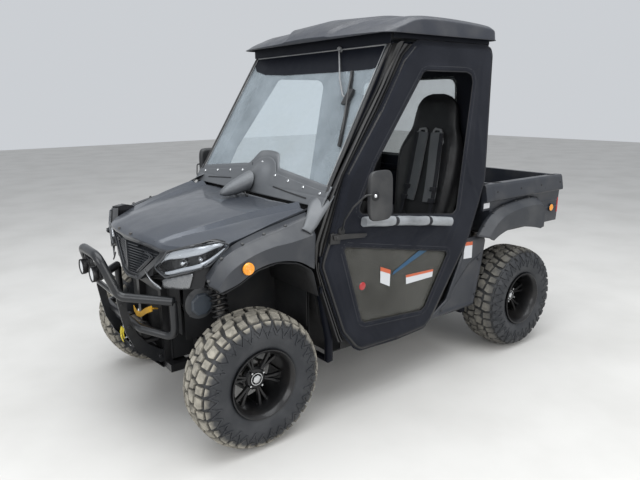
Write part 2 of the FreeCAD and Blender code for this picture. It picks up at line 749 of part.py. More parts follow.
flare_y = 738.0
bed_flare_y = 742.0
flare_bolts = [(1160, 848), (1093, 942), (989, 990), (879, 1020), (765, 1040), (618, 1076)]
flare_arch = [(618, 832), (731, 884), (850, 908), (958, 892), (1050, 845), (1134, 826)]
flare_lip = [(1146, 836), (1082, 900), (985, 946), (876, 972), (762, 980), (618, 1000)]


def fender_strip():
    """Shoulder between the hood's edge and the flare, from (x, inner y, inner z, outer z)."""
    stations = [(1142, 612, 868, 862), (1084, 616, 930, 944), (1012, 622, 984, 984), (900, 624, 1022, 1012),
                (750, 634, 1062, 1040), (610, 642, 1096, 1074)]
    wires = []
    for x, y, z_in, z_out in stations:
        loop = [V(x, y, z_in), V(x, 674, z_out), V(x, 674, z_out - sheet_wall), V(x, y, z_in - sheet_wall)]
        wires.append(Part.makePolygon(loop + loop[:1]))
    return outward(Part.makeLoft(wires, True, True))


def front_fenders():
    """Flared arch with its liner, the shoulder under the hood's edge and a tab on the cage."""
    whole = arch(flare_bolts + flare_arch, flare_lip + flare_arch, 668, flare_y)
    lower = [(x - 3, z - 6) for x, z in flare_bolts[:-1]] + [(616, 1070)]
    lower_lip = [(x - 3, z - 6) for x, z in flare_lip[:-1]] + [(616, 994)]
    cut_arch = [(616, 824)] + [(x, z - 8) for x, z in flare_arch[1:-1]] + [(1130, 818)]
    inner = arch(lower + cut_arch, lower_lip + cut_arch, 667, flare_y - sheet_wall)
    line = [(x - 4 if x > 900 else x + 4, z + 7) for x, z in flare_arch]
    liner = side_prism(line + [(x, z + sheet_wall) for x, z in reversed(line)], 300, flare_y - 2)
    tab = box(582, 650, cage_foot_y + cage_radius + seat_gap, 672, 838, 856)
    notch = box(600, 668, 667, 760, 990, 1120)
    return both(fuse([whole.cut(inner).cut(notch), liner, fender_strip(), tab]))


def bull_bar():
    end = bar_end_y
    top = [(1206, end, 705), (1385, 180, 708), (1450, 122, 905), (1450, -122, 905), (1385, -180, 708),
           (1206, -end, 705)]
    low = [(1206, end - 8, 700), (1206, end - 8, 524), (1318, 235, 552), (1318, -235, 552),
           (1206, -end + 8, 524), (1206, -end + 8, 700)]
    pieces = [pipe(top, bar_radius, 60), pipe(low, bar_radius - 3, 45)]
    plate = side_prism([(1400, 704), (1352, 704), (1322, 560), (1276, 470), (rail_front_x, 380),
                        (rail_front_x, 300), (1230, 312), (1350, 430), (1376, 560)], 148, 156)
    pieces += [plate, mirrored(plate)]
    pieces.append(rod((1384, -160, 706), (1384, 160, 706), 12))
    return fuse(pieces)


def winch():
    """Drum winch between its end plates, with the rope's hook drawn up in front."""
    drum = rod((1250, -70, 482), (1250, 70, 482), 33)
    ends = [box(1205, 1292, s * 100 - 32, s * 100 + 32, 440, 522) for s in (1, -1)]
    base = box(rail_front_x + 20, 1296, -147.7, 147.7, 430, 446)
    hook = fuse([rod((1290, 0, 480), (1334, 0, 480), 7), rod((1334, 0, 500), (1334, 0, 430), 9)])
    fairlead = box(1289, 1299, -80, 80, 452, 508)
    return fuse([drum, base, fairlead, hook] + ends)


def side_airbox():
    can = rod((1038, 225, 660), (1038, 320, 660), 74)
    lid = rod((1038, 318, 660), (1038, 336, 660), 46)
    foot = box(1020, 1056, bay_y + bay_rail_size / 2 + seat_gap, 228, 684, 716)
    return fuse([can, lid, foot])


def radiator():
    low = bay_rail_z + bay_rail_size / 2 + seat_gap
    core = box(1096, 1136, -190, 190, low, 900)
    tanks = [box(1090, 1142, s * 195 - 14, s * 195 + 14, low, 900) for s in (1, -1)]
    return fuse([core] + tanks)


# Suspension, drive and steering

arm_levels = [(tyre_radius - 90, tyre_radius - 28), (tyre_radius + 90, tyre_radius + 108)]


def wishbone(axle_x, hub_y, chassis_y, low, high):
    """One forked arm: two tubes from its ball joint to the chassis pivots."""
    spread = arm_spread
    pieces = []
    for s in (1, -1):
        pieces.append(rod((axle_x, hub_y, low), (axle_x + s * spread, chassis_y, high), 12))
        pieces.append(rod((axle_x + s * (spread - 26), chassis_y, high), (axle_x + s * (spread + 26), chassis_y, high),
                          pivot_radius))
    pieces.append(Part.makeSphere(17, V(axle_x, hub_y, low)))
    return fuse(pieces)


def suspension_arms():
    arms = []
    for axle_x, hub_y, chassis_y in ((front_axle_x, kingpin_y, pivot_y), (rear_axle_x, 470.0, pivot_y)):
        for low, high in arm_levels:
            arms.append(both(wishbone(axle_x, hub_y, chassis_y, low, high)))
    return Part.makeCompound(arms)


def coil_over(top, bottom, spring_radius):
    """Damper with its coil spring, turned as one profile of rings and laid along its axis."""
    start = V(*bottom)
    run = V(*top) - start
    length = run.Length
    turns = 8
    core = spring_radius - 9
    profile = [(0, 0), (11, 0), (11, 0.05), (18, 0.05), (18, 0.26), (spring_radius + 2, 0.26),
               (spring_radius + 2, 0.30)]
    pitch = 0.6 / turns
    for i in range(turns):
        z = 0.31 + i * pitch
        profile += [(core, z), (spring_radius, z + 0.3 * pitch), (spring_radius, z + 0.6 * pitch),
                    (core, z + 0.9 * pitch)]
    profile += [(spring_radius + 2, 0.92), (spring_radius + 2, 0.955), (11, 0.955), (11, 1.0), (0, 1.0)]
    loop = [V(r, 0, z * length) for r, z in profile]
    turned_form = Part.Face(Part.makePolygon(loop + loop[:1])).revolve(V(0, 0, 0), V(0, 0, 1), 360)
    turned_form.Placement = FreeCAD.Placement(start, FreeCAD.Rotation(V(0, 0, 1), run))
    return turned_form


def shock_absorbers():
    front = coil_over((shock_x, 368, shock_top_z - seat_gap - 2.5), (shock_x, 428, shock_foot_z), 30)
    rear = coil_over((rear_shock_x, 368, rear_deck_z + 10 - seat_gap - 1.5), (rear_shock_x, 400, shock_foot_z - 2), 30)
    return Part.makeCompound([both(front), both(rear)])


def drive_shafts():
    pieces = []
    for axle_x, inner_y, outer_y in ((front_axle_x, 70.0, kingpin_y), (rear_axle_x, 70.0, 500.0)):
        for s in (1, -1):
            shaft = rod((axle_x, s * inner_y, tyre_radius + 10), (axle_x, s * outer_y, tyre_radius), 13)
            boot = rod((axle_x, s * (inner_y + 10), tyre_radius + 10), (axle_x, s * (inner_y + 80), tyre_radius + 9),
                       34)
            pieces.append(fuse([shaft, boot, Part.makeSphere(31, V(axle_x, s * outer_y, tyre_radius))]))
    return Part.makeCompound(pieces)


def gear_cases():
    return box(front_axle_x - 56, front_axle_x + 90, -69.7, 69.7, rail_z + bay_rail_size / 2 + seat_gap, 430)


def knuckle(side):
    """Upright: a cup over the axle joint, kingpin bosses, steering arm and stub axle."""
    y = side * kingpin_y
    cup = hollow_rod((front_axle_x, y - side * 20, tyre_radius), (front_axle_x, y + side * 46, tyre_radius), 52, 37)
    web = rod((front_axle_x, y + side * 37, tyre_radius), (front_axle_x, y + side * 46, tyre_radius), 52)
    low = rod((front_axle_x, y, arm_levels[0][0] + 17 + seat_gap), (front_axle_x, y, tyre_radius - 40), 15)
    high = rod((front_axle_x, y, tyre_radius + 40), (front_axle_x, y, arm_levels[1][0] - 17 - seat_gap), 15)
    x_end = front_axle_x - steer_arm
    arm = box(x_end - 12, front_axle_x - 36, min(y - side * 14, y + side * 10), max(y - side * 14, y + side * 10),
              tyre_radius + 8, tyre_radius + 20)
    axle = rod((front_axle_x, y + side * 42, tyre_radius),
               (front_axle_x, side * front_tyre_y + side * (0.30 * front_rim_width / 2 - 14), tyre_radius),
               hub_bore_radius)
    return fuse([cup, web, low, high, arm, axle])


def rear_hubs():
    y = 500.0
    upright = rod((rear_axle_x, y + 32 + seat_gap, tyre_radius), (rear_axle_x, y + 52, tyre_radius), 60)
    post = box(rear_axle_x - 18, rear_axle_x + 18, 470 - 14, 470 + 14, arm_levels[0][0] + 17 + seat_gap,
               arm_levels[1][0] - 17 - seat_gap)
    post = post.cut(rod((rear_axle_x, 430, tyre_radius), (rear_axle_x, 540, tyre_radius), 34))
    link = hollow_rod((rear_axle_x, 456, tyre_radius), (rear_axle_x, y + 34, tyre_radius), 46, 34)
    axle = rod((rear_axle_x, y + 50, tyre_radius),
               (rear_axle_x, rear_tyre_y + 0.30 * rear_rim_width / 2 - 14, tyre_radius), hub_bore_radius)
    return both(fuse([upright, post, link, axle]))


def steering_rack():
    x = front_axle_x - steer_arm
    z = rack_z
    bar = rod((x, -kingpin_y, z), (x, kingpin_y, z), 8)
    eyes = [rod((x, s * kingpin_y, z - 9), (x, s * kingpin_y, z + 9), 13) for s in (1, -1)]
    boots = [rod((x, s * 104, z), (x, s * 169, z), 19) for s in (1, -1)]
    return fuse([bar] + eyes + boots)


def steering_wheel():
    hub = V(*steering_wheel_hub)
    lean = math.radians(steering_tilt)
    axis = V(-math.cos(lean), 0, math.sin(lean))
    ring = Part.makeTorus(steering_wheel_radius - 14, 14)
    pieces = [ring, Part.makeCylinder(46, 34, V(0, 0, -42))]
    for turn in (90, 210, 330):
        spoke = box(30, steering_wheel_radius - 14, -14, 14, -30, -20)
        lift = Part.makeCylinder(9, 34, V(steering_wheel_radius - 20, 0, -30), V(0, 0, 1))
        blade = fuse([spoke, lift])
        blade.rotate(V(0, 0, 0), V(0, 0, 1), turn)
        pieces.append(blade)
    pieces.append(Part.makeCylinder(12, 60, V(0, 0, -100)))
    whole = fuse(pieces)
    whole.Placement = FreeCAD.Placement(hub, FreeCAD.Rotation(V(0, 0, 1), axis))
    return whole


def dash_panel():
    """Dash shell across the cab with a glove recess and the steering column's shroud."""
    outer = side_prism([(596, 796), (330, 800), (296, 900), (318, 1030), (360, 1112), (486, 1118), (560, 1010)],
                       -cab_half_width + 12, cab_half_width - 12)
    inner = side_prism([(592, 780), (336, 780), (302, 900), (323, 1027), (363, 1106), (483, 1112), (554, 1008)],
                       -cab_half_width + 12 + sheet_wall, cab_half_width - 12 - sheet_wall)
    shell = outer.cut(inner)
    pocket = box(290, 330, -420, -120, 880, 980)
    tray = box(300, 420, -424, -116, 876, 984).cut(box(280, 416, -420, -120, 880, 980))
    hub = V(*steering_wheel_hub)
    lean = math.radians(steering_tilt)
    axis = V(-math.cos(lean), 0, math.sin(lean))
    low = hub - axis * 330
    high = hub - axis * 58
    column = rod((low.x, low.y, low.z), (high.x, high.y, high.z), 34)
    bore = rod((high.x, high.y, high.z), tuple(hub - axis * 101), 12 + bore_clearance)
    return fuse([shell.cut(pocket), tray, column.cut(bore)])


# Cab interior

def seat_cushions():
    low = riser_z + sheet_wall + seat_gap
    outline = [(-336, low), (-62, low), (-32, 668), (-28, 762), (-72, 794), (-336, 780)]
    half = seat_width / 2.0
    return both(side_prism(outline, seat_y - half, seat_y + half))


def seat_backs():
    half = seat_width / 2.0
    low = riser_z + sheet_wall + seat_gap
    side = side_prism([(-345, low), (-338, 790), (-390, 900), (-470, 1250), (-516, 1400), (-540, 1622),
                       (-566, 1640), (-596, 1622), (-606, 1400), (-600, 1200), (-556, 860), (-540, low)],
                      seat_y - 260, seat_y + 260)
    front = [(half - 20, low - 5), (half, 800), (half, 1180), (half - 30, 1290), (120, 1400), (118, 1600), (90, 1650)]
    loop = [(seat_y + y, z) for y, z in front] + [(seat_y - y, z) for y, z in reversed(front)]
    return both(side.common(front_prism(loop, -700, -200)))


def curtain_face():
    return cage_rear_x - cage_radius - seat_gap


def rear_curtain():
    outline = [(596, 880), (618, 1150), (618, 1700), (590, 1842), (-590, 1842), (-618, 1700), (-618, 1150),
               (-596, 880)]
    x = curtain_face()
    sheet = front_prism(outline, x - 6, x)
    window = front_prism([(430, 1240), (420, 1720), (-420, 1720), (-430, 1240)], -700, -600)
    return sheet.cut(window)


def rear_window():
    x = curtain_face()
    return front_prism([(450, 1220), (440, 1740), (-440, 1740), (-450, 1220)], x, x + 2)


def engine_block():
    low = rail_z + bay_rail_size / 2 + seat_gap
    block = box(-930, -520, -190, 190, low, 620)
    case = box(rear_axle_x - 100, -929, -69.7, 69.7, low, 480)
    return fuse([block, case])


def muffler():
    x = rear_axle_x - 220
    can = rod((x, -170, 560), (x, 170, 560), 72)
    tail = rod((x, 120, 500), (x - 90, 120, 490), 20)
    stub = box(x + 28, x + 52, -20, 20, 560, 682 - seat_gap)
    return fuse([can, tail, stub])


# Doors

door_line = [(369, 342), (453, 446), (590, 823), (528, 970), (426, 1254), (200, 1550), (27, 1813), (-50, 1880),
             (-84, door_top_z), (-630, door_top_z), (-676, 1878), (-690, 1840), (-650, 1133), (-513, 791),
             (-213, 363), (-160, 322), (57, 309), (330, 318)]
upper_window = [(-128, 1742), (-440, 1742), (-480, 1728), (-494, 1690), (-372, 990), (-340, 968),
                (330, 1050), (352, 1066), (350, 1090), (240, 1290), (-98, 1732)]
lower_window = [(452, 888), (436, 902), (-296, 762), (-312, 744), (-140, 462), (-110, 446), (312, 478), (336, 496)]


def door_face(line, margin):
    face = Part.Face(side_wire(line, 600))
    return face.makeOffset2D(margin, 2) if margin else face


def door_slab(out0, out1):
    """The door's leaning band between two depths measured inwards from its outer face."""
    outer = [(door_outer_y - out0, 250), (door_outer_y - out0, door_break_z), (door_top_y - out0, 1950)]
    inner = [(door_top_y - out1, 1950), (door_outer_y - out1, door_break_z), (door_outer_y - out1, 250)]
    return front_prism(outer + inner, -900, 800)


def door_panel():
    run = V(0, 150, 0)
    whole = door_face(door_line, 0).extrude(run)
    core = door_face(door_line, -door_hem).extrude(run)
    windows = [door_face(upper_window, 0).extrude(run), door_face(lower_window, 0).extrude(run)]
    rims = [door_face(upper_window, 16).extrude(run), door_face(lower_window, 12).extrude(run)]
    sheet = whole.common(door_slab(0, door_sheet))
    hem = whole.cut(core).common(door_slab(door_sheet - 1, door_hem_depth))
    edges = [rim.common(door_slab(door_sheet - 1, door_sheet + 5)) for rim in rims]
    belt = side_prism([(560, 950), (-600, 950), (-600, 915), (575, 915)], 600, 750).common(whole)
    belt = belt.common(door_slab(door_sheet - 1, door_hem_depth))
    straps = []
    for z in door_hinge_levels:
        barrel = rod((door_hinge_x, door_outer_y, z + seat_gap), (door_hinge_x, door_outer_y, z + 30),
                     door_hinge_radius)
        pin = rod((door_hinge_x, door_outer_y, z - 24), (door_hinge_x, door_outer_y, z + 10), door_pin_radius)
        strap = box(leg_x(z) - 60, door_hinge_x, door_outer_y - 8, door_outer_y - 2, z + 4, z + 26)
        straps += [barrel, pin, strap]
    panel = fuse([sheet, hem, belt] + edges + straps)
    for window in windows:
        panel = panel.cut(window)
    return panel


def door_clear():
    pane = door_face(lower_window, 9).extrude(V(0, 150, 0))
    return pane.common(door_slab(door_sheet + 5, door_sheet + 7))


def window_roll():
    """The clear side window, rolled up and strapped along the sill of its opening."""
    y = door_outer_y + 26 + seat_gap
    return rod((342, y, 1022), (-298, y, 938), 26)


def mirror():
    """Rear-view mirror on a thin arm from the door's front edge."""
    shell = side_prism([(300, 1060), (290, 1180), (300, 1270), (330, 1290), (410, 1284), (440, 1250), (446, 1120),
                        (430, 1070), (400, 1052), (330, 1050)], 838, 888)
    ball = Part.makeSphere(17, V(400, 846, 1150))
    arm = pipe([(470, 726, 985), (470, 790, 1000), (462, 838, 1040), (432, 846, 1110), (404, 848, 1150)], 7, 40)
    base = box(448, 492, door_outer_y + seat_gap, 728, 962, 1008)
    return fuse([shell, ball, arm, base])


# Cargo bed

def cargo_bed():
    """Double-walled sides with a flared band, floor, headboard, ribs and the hinge lugs."""
    x0, x1 = bed_rear_x, bed_front_x
    skin = bed_floor_z - 6
    side = [(bed_inner_y, skin), (bed_inner_y, bed_top_z), (682, bed_top_z), (688, bed_top_z - 8),
            (bed_band_y, bed_band_z + 8), (bed_band_y, bed_band_z), (bed_side_y, bed_band_z - 6),
            (bed_side_y - 4, 784), (bed_side_y - 12, 784), (bed_side_y - 12, skin)]
    wall = front_prism(side, x0, x1)
    floor = box(x0 + 32, x1, -bed_side_y + 10, bed_side_y - 10, skin, bed_floor_z)
    front = box(x1 - 30, x1, -bed_inner_y, bed_inner_y, skin, bed_top_z)
    pieces = [wall, mirrored(wall), floor, front]
    for s in (1, -1):
        pieces.append(box(bed_hinge[0] + 40, x1, s * rail_y - 18, s * rail_y + 18, bed_rib_z, skin + 1))
        x, z = bed_hinge
        pieces.append(rod((x, s * 244, z), (x, s * 255, z), 18))
        pieces.append(box(x - 18, x + 18, min(s * 244, s * 255), max(s * 244, s * 255), z, skin + 1))
    whole = fuse(pieces)
    for s in (1, -1):
        whole = whole.cut(rod((x, s * 230, z), (x, s * 258, z), bed_hinge_radius + bore_clearance))
    return whole


# (distance ahead of the rear axle, height)
bed_flare_top = [(427, 799), (334, 899), (238, 950), (109, 972), (-49, 984), (-160, 976), (-212, 935),
                 (-216, 786)]
bed_flare_arch = [(-151, 780), (-37, 800), (73, 821), (177, 816), (274, 790), (330, 767)]
bed_flare_lip = [(380, 790), (305, 866), (220, 908), (105, 930), (-46, 940), (-145, 934), (-186, 905),
                 (-192, 786)]


def drawn_in(points, reach):
    """Outline points moved towards the wheel arch's middle."""
    moved = []
    for x, z in points:
        dx, dz = 90 - x, 720 - z
        size = math.hypot(dx, dz)
        moved.append((x + dx / size * reach, z + dz / size * reach))
    return moved


def bed_fenders():
    """Hollow flare, open below and towards the bed's side."""
    whole = arch(bed_flare_top + bed_flare_arch, bed_flare_lip + bed_flare_arch, bed_side_y + seat_gap, bed_flare_y)
    below = drawn_in(bed_flare_arch, 9)
    hollow = arch(drawn_in(bed_flare_top, sheet_wall + 1) + below, drawn_in(bed_flare_lip, sheet_wall + 1) + below,
                  bed_side_y - 1, bed_flare_y - sheet_wall)
    flare = whole.cut(hollow)
    flare.translate(V(rear_axle_x, 0, 0))
    return both(flare)


def tail_lamps():
    strip = box(bed_rear_x - 6, bed_rear_x - seat_gap, 634, 668, 836, 990)
    x = bed_rear_x + 84
    disc = rod((x, bed_side_y - 1.7, 880), (x, bed_side_y + 8, 880), 26)
    return Part.makeCompound([both(strip), both(disc)])


def tailgate():
    h = gate_half_width
    x0 = bed_rear_x - 2
    x1 = x0 + gate_thick
    skin = box(x0, x1, -h, h, gate_hinge[1], bed_top_z - 4)
    recess = box(x0 - 1, x0 + 8, -h + 60, h - 60, gate_hinge[1] + 60, bed_top_z - 60)
    reach = bed_inner_y - seat_gap
    pin = rod((gate_hinge[0], -reach, gate_hinge[1]), (gate_hinge[0], reach, gate_hinge[1]), 9)
    return fuse([skin.cut(recess), pin])


parts = {
    "chassis_frame": chassis_frame,
    "tow_hitch": tow_hitch,
    "skid_plate": skid_plate,
    "floor_pan": floor_pan,
    "side_panels": side_panels,
    "roll_cage": roll_cage,
    "roof_panel": roof_panel,
    "windscreen_frame": windscreen_frame,
    "windscreen_glass": windscreen_glass,
    "windscreen_wiper": windscreen_wiper,
    "cowl_panel": cowl_panel,
    "hood": hood,
    "intake_scoop": intake_scoop,
    "grille": grille,
    "front_lamp_housings": front_lamp_housings,
    "front_lenses": front_lenses,
    "front_fenders": front_fenders,
    "bull_bar": bull_bar,
    "winch": winch,
    "side_airbox": side_airbox,
    "radiator": radiator,
    "suspension_arms": suspension_arms,
    "shock_absorbers": shock_absorbers,
    "drive_shafts": drive_shafts,
    "gear_case": gear_cases,
    "rear_hubs": rear_hubs,
    "steering_rack": steering_rack,
    "steering_wheel": steering_wheel,
    "dash_panel": dash_panel,
    "seat_cushions": seat_cushions,
    "seat_backs": seat_backs,
    "rear_curtain": rear_curtain,
    "rear_window": rear_window,
    "engine_block": engine_block,
    "muffler": muffler,
    "cargo_bed": cargo_bed,
    "bed_fenders": bed_fenders,
    "tail_lamps": tail_lamps,
    "tailgate": tailgate,
}


def save(name, shape):
    if not shape.isValid():
        print("invalid", name)
    print(name, len(shape.Solids), round(shape.Volume / 1e6, 2), [round(v) for v in (
        shape.BoundBox.XMin, shape.BoundBox.XMax, shape.BoundBox.YMin, shape.BoundBox.YMax,
        shape.BoundBox.ZMin, shape.BoundBox.ZMax)])
    shape.exportStep("parts/" + name + ".step")


def main():
    os.makedirs("parts", exist_ok=True)
    for name, make in parts.items():
        save(name, make())
    for side, sign in (("left", 1), ("right", -1)):
        save("knuckle_" + side, knuckle(sign))
        front = (front_axle_x, sign * front_tyre_y, tyre_radius)
        rear = (rear_axle_x, sign * rear_tyre_y, tyre_radius)
        save("tyre_front_" + side, tyre(front, front_tyre_width))
        save("tyre_rear_" + side, tyre(rear, rear_tyre_width))
        save("rim_front_" + side, rim(front, front_rim_width, front_tyre_width, sign))
        save("rim_rear_" + side, rim(rear, rear_rim_width, rear_tyre_width, sign))
        for name, make in (("door_panel", door_panel), ("door_clear", door_clear), ("window_roll", window_roll),
                           ("mirror", mirror)):
            shape = make()
            save(name + "_" + side, shape if sign > 0 else mirrored(shape))


main()
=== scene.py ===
import json
import math
import bmesh
import bpy
from mathutils import Matrix, Vector


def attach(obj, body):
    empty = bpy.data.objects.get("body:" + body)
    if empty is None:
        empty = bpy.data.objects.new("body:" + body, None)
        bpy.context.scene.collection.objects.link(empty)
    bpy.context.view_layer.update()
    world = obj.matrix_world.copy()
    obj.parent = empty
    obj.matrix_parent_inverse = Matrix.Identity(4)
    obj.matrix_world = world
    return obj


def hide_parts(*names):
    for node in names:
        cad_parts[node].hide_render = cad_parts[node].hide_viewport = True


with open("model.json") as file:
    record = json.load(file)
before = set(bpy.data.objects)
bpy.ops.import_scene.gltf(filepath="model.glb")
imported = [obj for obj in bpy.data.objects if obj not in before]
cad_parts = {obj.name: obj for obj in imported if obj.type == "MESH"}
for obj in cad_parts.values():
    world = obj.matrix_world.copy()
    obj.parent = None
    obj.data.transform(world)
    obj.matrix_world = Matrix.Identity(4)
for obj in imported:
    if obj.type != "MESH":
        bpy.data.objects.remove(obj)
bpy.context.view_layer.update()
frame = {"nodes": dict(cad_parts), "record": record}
MM = 0.001


# Finishes

class Value:
    """A shader socket that takes part in sums and products."""

    def __init__(self, finish, socket):
        self.finish = finish
        self.socket = socket

    def maths(self, operation, other):
        return self.finish.node("ShaderNodeMath", {"operation": operation}, self, other)

    def __add__(self, other):
        return self.maths("ADD", other)

    def __mul__(self, other):
        return self.maths("MULTIPLY", other)

    __radd__ = __add__
    __rmul__ = __mul__


class Finish:
    """One material: a Principled shader and the nodes that feed it."""

    def __init__(self, name, colour, roughness, **constants):
        self.material = bpy.data.materials.new(name)
        self.material.use_nodes = True
        self.tree = self.material.node_tree
        self.shader = self.tree.nodes["Principled BSDF"]
        self.place = self.node("ShaderNodeTexCoord", out="Object")
        self.colour = colour
        self.set(Base_Color=(*colour, 1.0), Roughness=roughness, **constants)

    def node(self, kind, settings=None, *values, out=0, **named):
        made = self.tree.nodes.new(kind)
        for key, value in (settings or {}).items():
            setattr(made, key, value)
        pairs = list(zip(made.inputs, values))
        pairs += [(made.inputs[key.replace("_", " ")], value) for key, value in named.items()]
        for socket, value in pairs:
            self.feed(socket, value)
        return Value(self, made.outputs[out])

    def feed(self, socket, value):
        if isinstance(value, Value):
            self.tree.links.new(value.socket, socket)
        elif value is not None:
            socket.default_value = value

    def set(self, **sockets):
        for key, value in sockets.items():
            self.feed(self.shader.inputs[key.replace("_", " ")], value)

    def noise(self, scale, detail=2.0, rough=0.5):
        return self.node("ShaderNodeTexNoise", None, Vector=self.place, Scale=scale, Detail=detail, Roughness=rough)

    def axis(self, name):
        return self.node("ShaderNodeSeparateXYZ", None, self.place, out=name)

    def limit(self, value, low, high, new_low=0.0, new_high=1.0):
        """A value carried from one range to another and held within it."""
        return self.node("ShaderNodeMapRange", {"clamp": True}, value, low, high, new_low, new_high)

    def mix(self, factor, first, second):
        made = self.tree.nodes.new("ShaderNodeMix")
        made.data_type = "RGBA"
        for index, value in ((0, factor), (6, first), (7, second)):
            if isinstance(value, tuple) and len(value) == 3:
                value = (*value, 1.0)
            self.feed(made.inputs[index], value)
        return Value(self, made.outputs[2])

    def bump(self, height, distance, strength):
        return self.node("ShaderNodeBump", None, Height=height, Distance=distance, Strength=strength)

    def aged(self, other, scale=9.0, low=0.45, high=0.7, amount=1.0):
        """Base colour that drifts to another one in soft patches."""
        patch = self.limit(self.noise(scale, 5.0), low, high) * amount
        return self.mix(patch, self.colour, other)


def moulded(name, colour, dusty, roughness=0.55, grain=700.0, depth=0.0004):
    """Grained plastic with dust in soft patches."""
    f = Finish(name, colour, roughness)
    skin = f.noise(grain, 3.0)
    f.set(Base_Color=f.aged(dusty, 7.0), Normal=f.bump(skin, depth, 0.5),
          Roughness=f.limit(f.noise(11.0, 4.0), 0.3, 0.7, roughness - 0.07, roughness + 0.09))
    return f


def coated(name, colour, roughness, metallic=0.0, coat=0.0, dusty=None, flake=0.0):
    """Paint or powder coat, with fine orange peel and a little dust."""
    f = Finish(name, colour, roughness, Metallic=metallic, Coat_Weight=coat, Coat_Roughness=0.06)
    tone = f.aged(dusty or tuple(c * 1.35 + 0.01 for c in colour), 5.0, 0.5, 0.8, 0.7)
    if flake:
        cells = f.node("ShaderNodeTexVoronoi", None, Vector=f.place, Scale=1400.0, out="Color")
        light = f.node("ShaderNodeSeparateXYZ", None, cells, out="X")
        tone = f.mix(light * flake, tone, tuple(min(1.0, c * 2.4 + 0.05) for c in colour))
    f.set(Base_Color=tone, Normal=f.bump(f.noise(260.0, 2.0), 0.0002, 0.25),
          Roughness=f.limit(f.noise(14.0, 4.0), 0.3, 0.7, roughness - 0.04, roughness + 0.06))
    return f


hood_paint = coated("hood_paint", (0.04, 0.046, 0.058), 0.38, 0.5, 0.4, (0.065, 0.07, 0.076), 0.25)
flare_plastic = moulded("flare_plastic", (0.024, 0.027, 0.033), (0.048, 0.05, 0.054), 0.42)
roof_plastic = moulded("roof_plastic", (0.022, 0.025, 0.034), (0.042, 0.044, 0.05), 0.36, 1100.0)
cab_plastic = moulded("cab_plastic", (0.011, 0.011, 0.012), (0.028, 0.027, 0.026), 0.55)
trim_plastic = moulded("trim_plastic", (0.02, 0.021, 0.023), (0.05, 0.05, 0.05), 0.5)
frame_black = coated("frame_black", (0.009, 0.009, 0.01), 0.42, 0.0, 0.1, (0.03, 0.028, 0.025))
bar_black = coated("bar_black", (0.014, 0.015, 0.017), 0.34, 0.2, 0.2, (0.045, 0.044, 0.042))
rim_black = coated("rim_black", (0.008, 0.008, 0.009), 0.38, 0.3, 0.2, (0.035, 0.032, 0.03))
cowl_grey = coated("cowl_grey", (0.098, 0.104, 0.112), 0.45, 0.25, 0.0, (0.15, 0.155, 0.16))
steel_dark = coated("steel_dark", (0.12, 0.115, 0.11), 0.5, 0.7, 0.0, (0.17, 0.14, 0.11))
cast_case = coated("cast_case", (0.2, 0.2, 0.2), 0.55, 0.6, 0.0, (0.15, 0.13, 0.11))
bright_steel = coated("bright_steel", (0.6, 0.61, 0.62), 0.25, 1.0)
rubber_black = moulded("rubber_black", (0.012, 0.012, 0.012), (0.03, 0.03, 0.03), 0.7, 500.0)


def dusted_rubber():
    """Tyre rubber: dark sides, with dry dust on the blocks where the mesh's dust attribute says."""
    f = Finish("tyre_rubber", (0.016, 0.018, 0.022), 0.6)
    dust = f.node("ShaderNodeAttribute", {"attribute_name": "dust"}, out="Fac")
    patch = f.limit(f.noise(26.0, 5.0, 0.6), 0.35, 0.62, 0.45, 1.0)
    f.set(Base_Color=f.mix(dust * patch, f.aged((0.036, 0.038, 0.042), 9.0), (0.36, 0.335, 0.28)),
          Roughness=f.limit(dust, 0.0, 0.6, 0.56, 0.9), Normal=f.bump(f.noise(420.0, 3.0), 0.0005, 0.5))
    return f


tyre_rubber = dusted_rubber()


def woven(name, colour, dusty, pitch=0.0011, roughness=0.85):
    """Coated woven cloth: two crossed sets of threads, faint creases and dust."""
    f = Finish(name, colour, roughness, Sheen_Weight=0.04, Sheen_Roughness=0.4,
               Specular_IOR_Level=0.3)
    turn = 2.0 * math.pi / pitch
    warp = f.node("ShaderNodeMath", {"operation": "SINE"}, (f.axis("X") + f.axis("Y")) * turn)
    weft = f.node("ShaderNodeMath", {"operation": "SINE"}, f.axis("Z") * turn)
    creases = f.noise(6.0, 6.0, 0.6)
    height = warp * weft * 0.5 + creases * 6.0
    f.set(Base_Color=f.aged(dusty, 4.0, 0.42, 0.75), Normal=f.bump(height, 0.0007, 0.6))
    return f


door_fabric = woven("door_fabric", (0.0045, 0.006, 0.0115), (0.012, 0.014, 0.021))
seat_vinyl = moulded("seat_vinyl", (0.009, 0.009, 0.01), (0.018, 0.018, 0.019), 0.5, 320.0, 0.0005)


def clear_sheet(name, tint_and_painted_shade, roughness, veil, veil_colour, edge=0.6):
    """Thin clear sheet: sees through except for its gloss and a faint veil of dust."""
    f = Finish(name, veil_colour, roughness, Specular_IOR_Level=0.6)
    dust = f.limit(f.noise(5.0, 6.0, 0.6), 0.35, 0.75, veil * 0.5, veil)
    tree = f.tree
    see = tree.nodes.new("ShaderNodeBsdfTransparent")
    see.inputs["Color"].default_value = (*tint_and_painted_shade, 1.0)
    facing = f.node("ShaderNodeLayerWeight", None, 0.5, out="Facing")
    gloss = tree.nodes.new("ShaderNodeMixShader")
    f.feed(gloss.inputs[0], dust + f.node("ShaderNodeMath", {"operation": "POWER"}, facing, 4.0) * edge + 0.02)
    tree.links.new(see.outputs[0], gloss.inputs[1])
    tree.links.new(f.shader.outputs[0], gloss.inputs[2])
    tree.links.new(gloss.outputs[0], tree.nodes["Material Output"].inputs["Surface"])
    return f


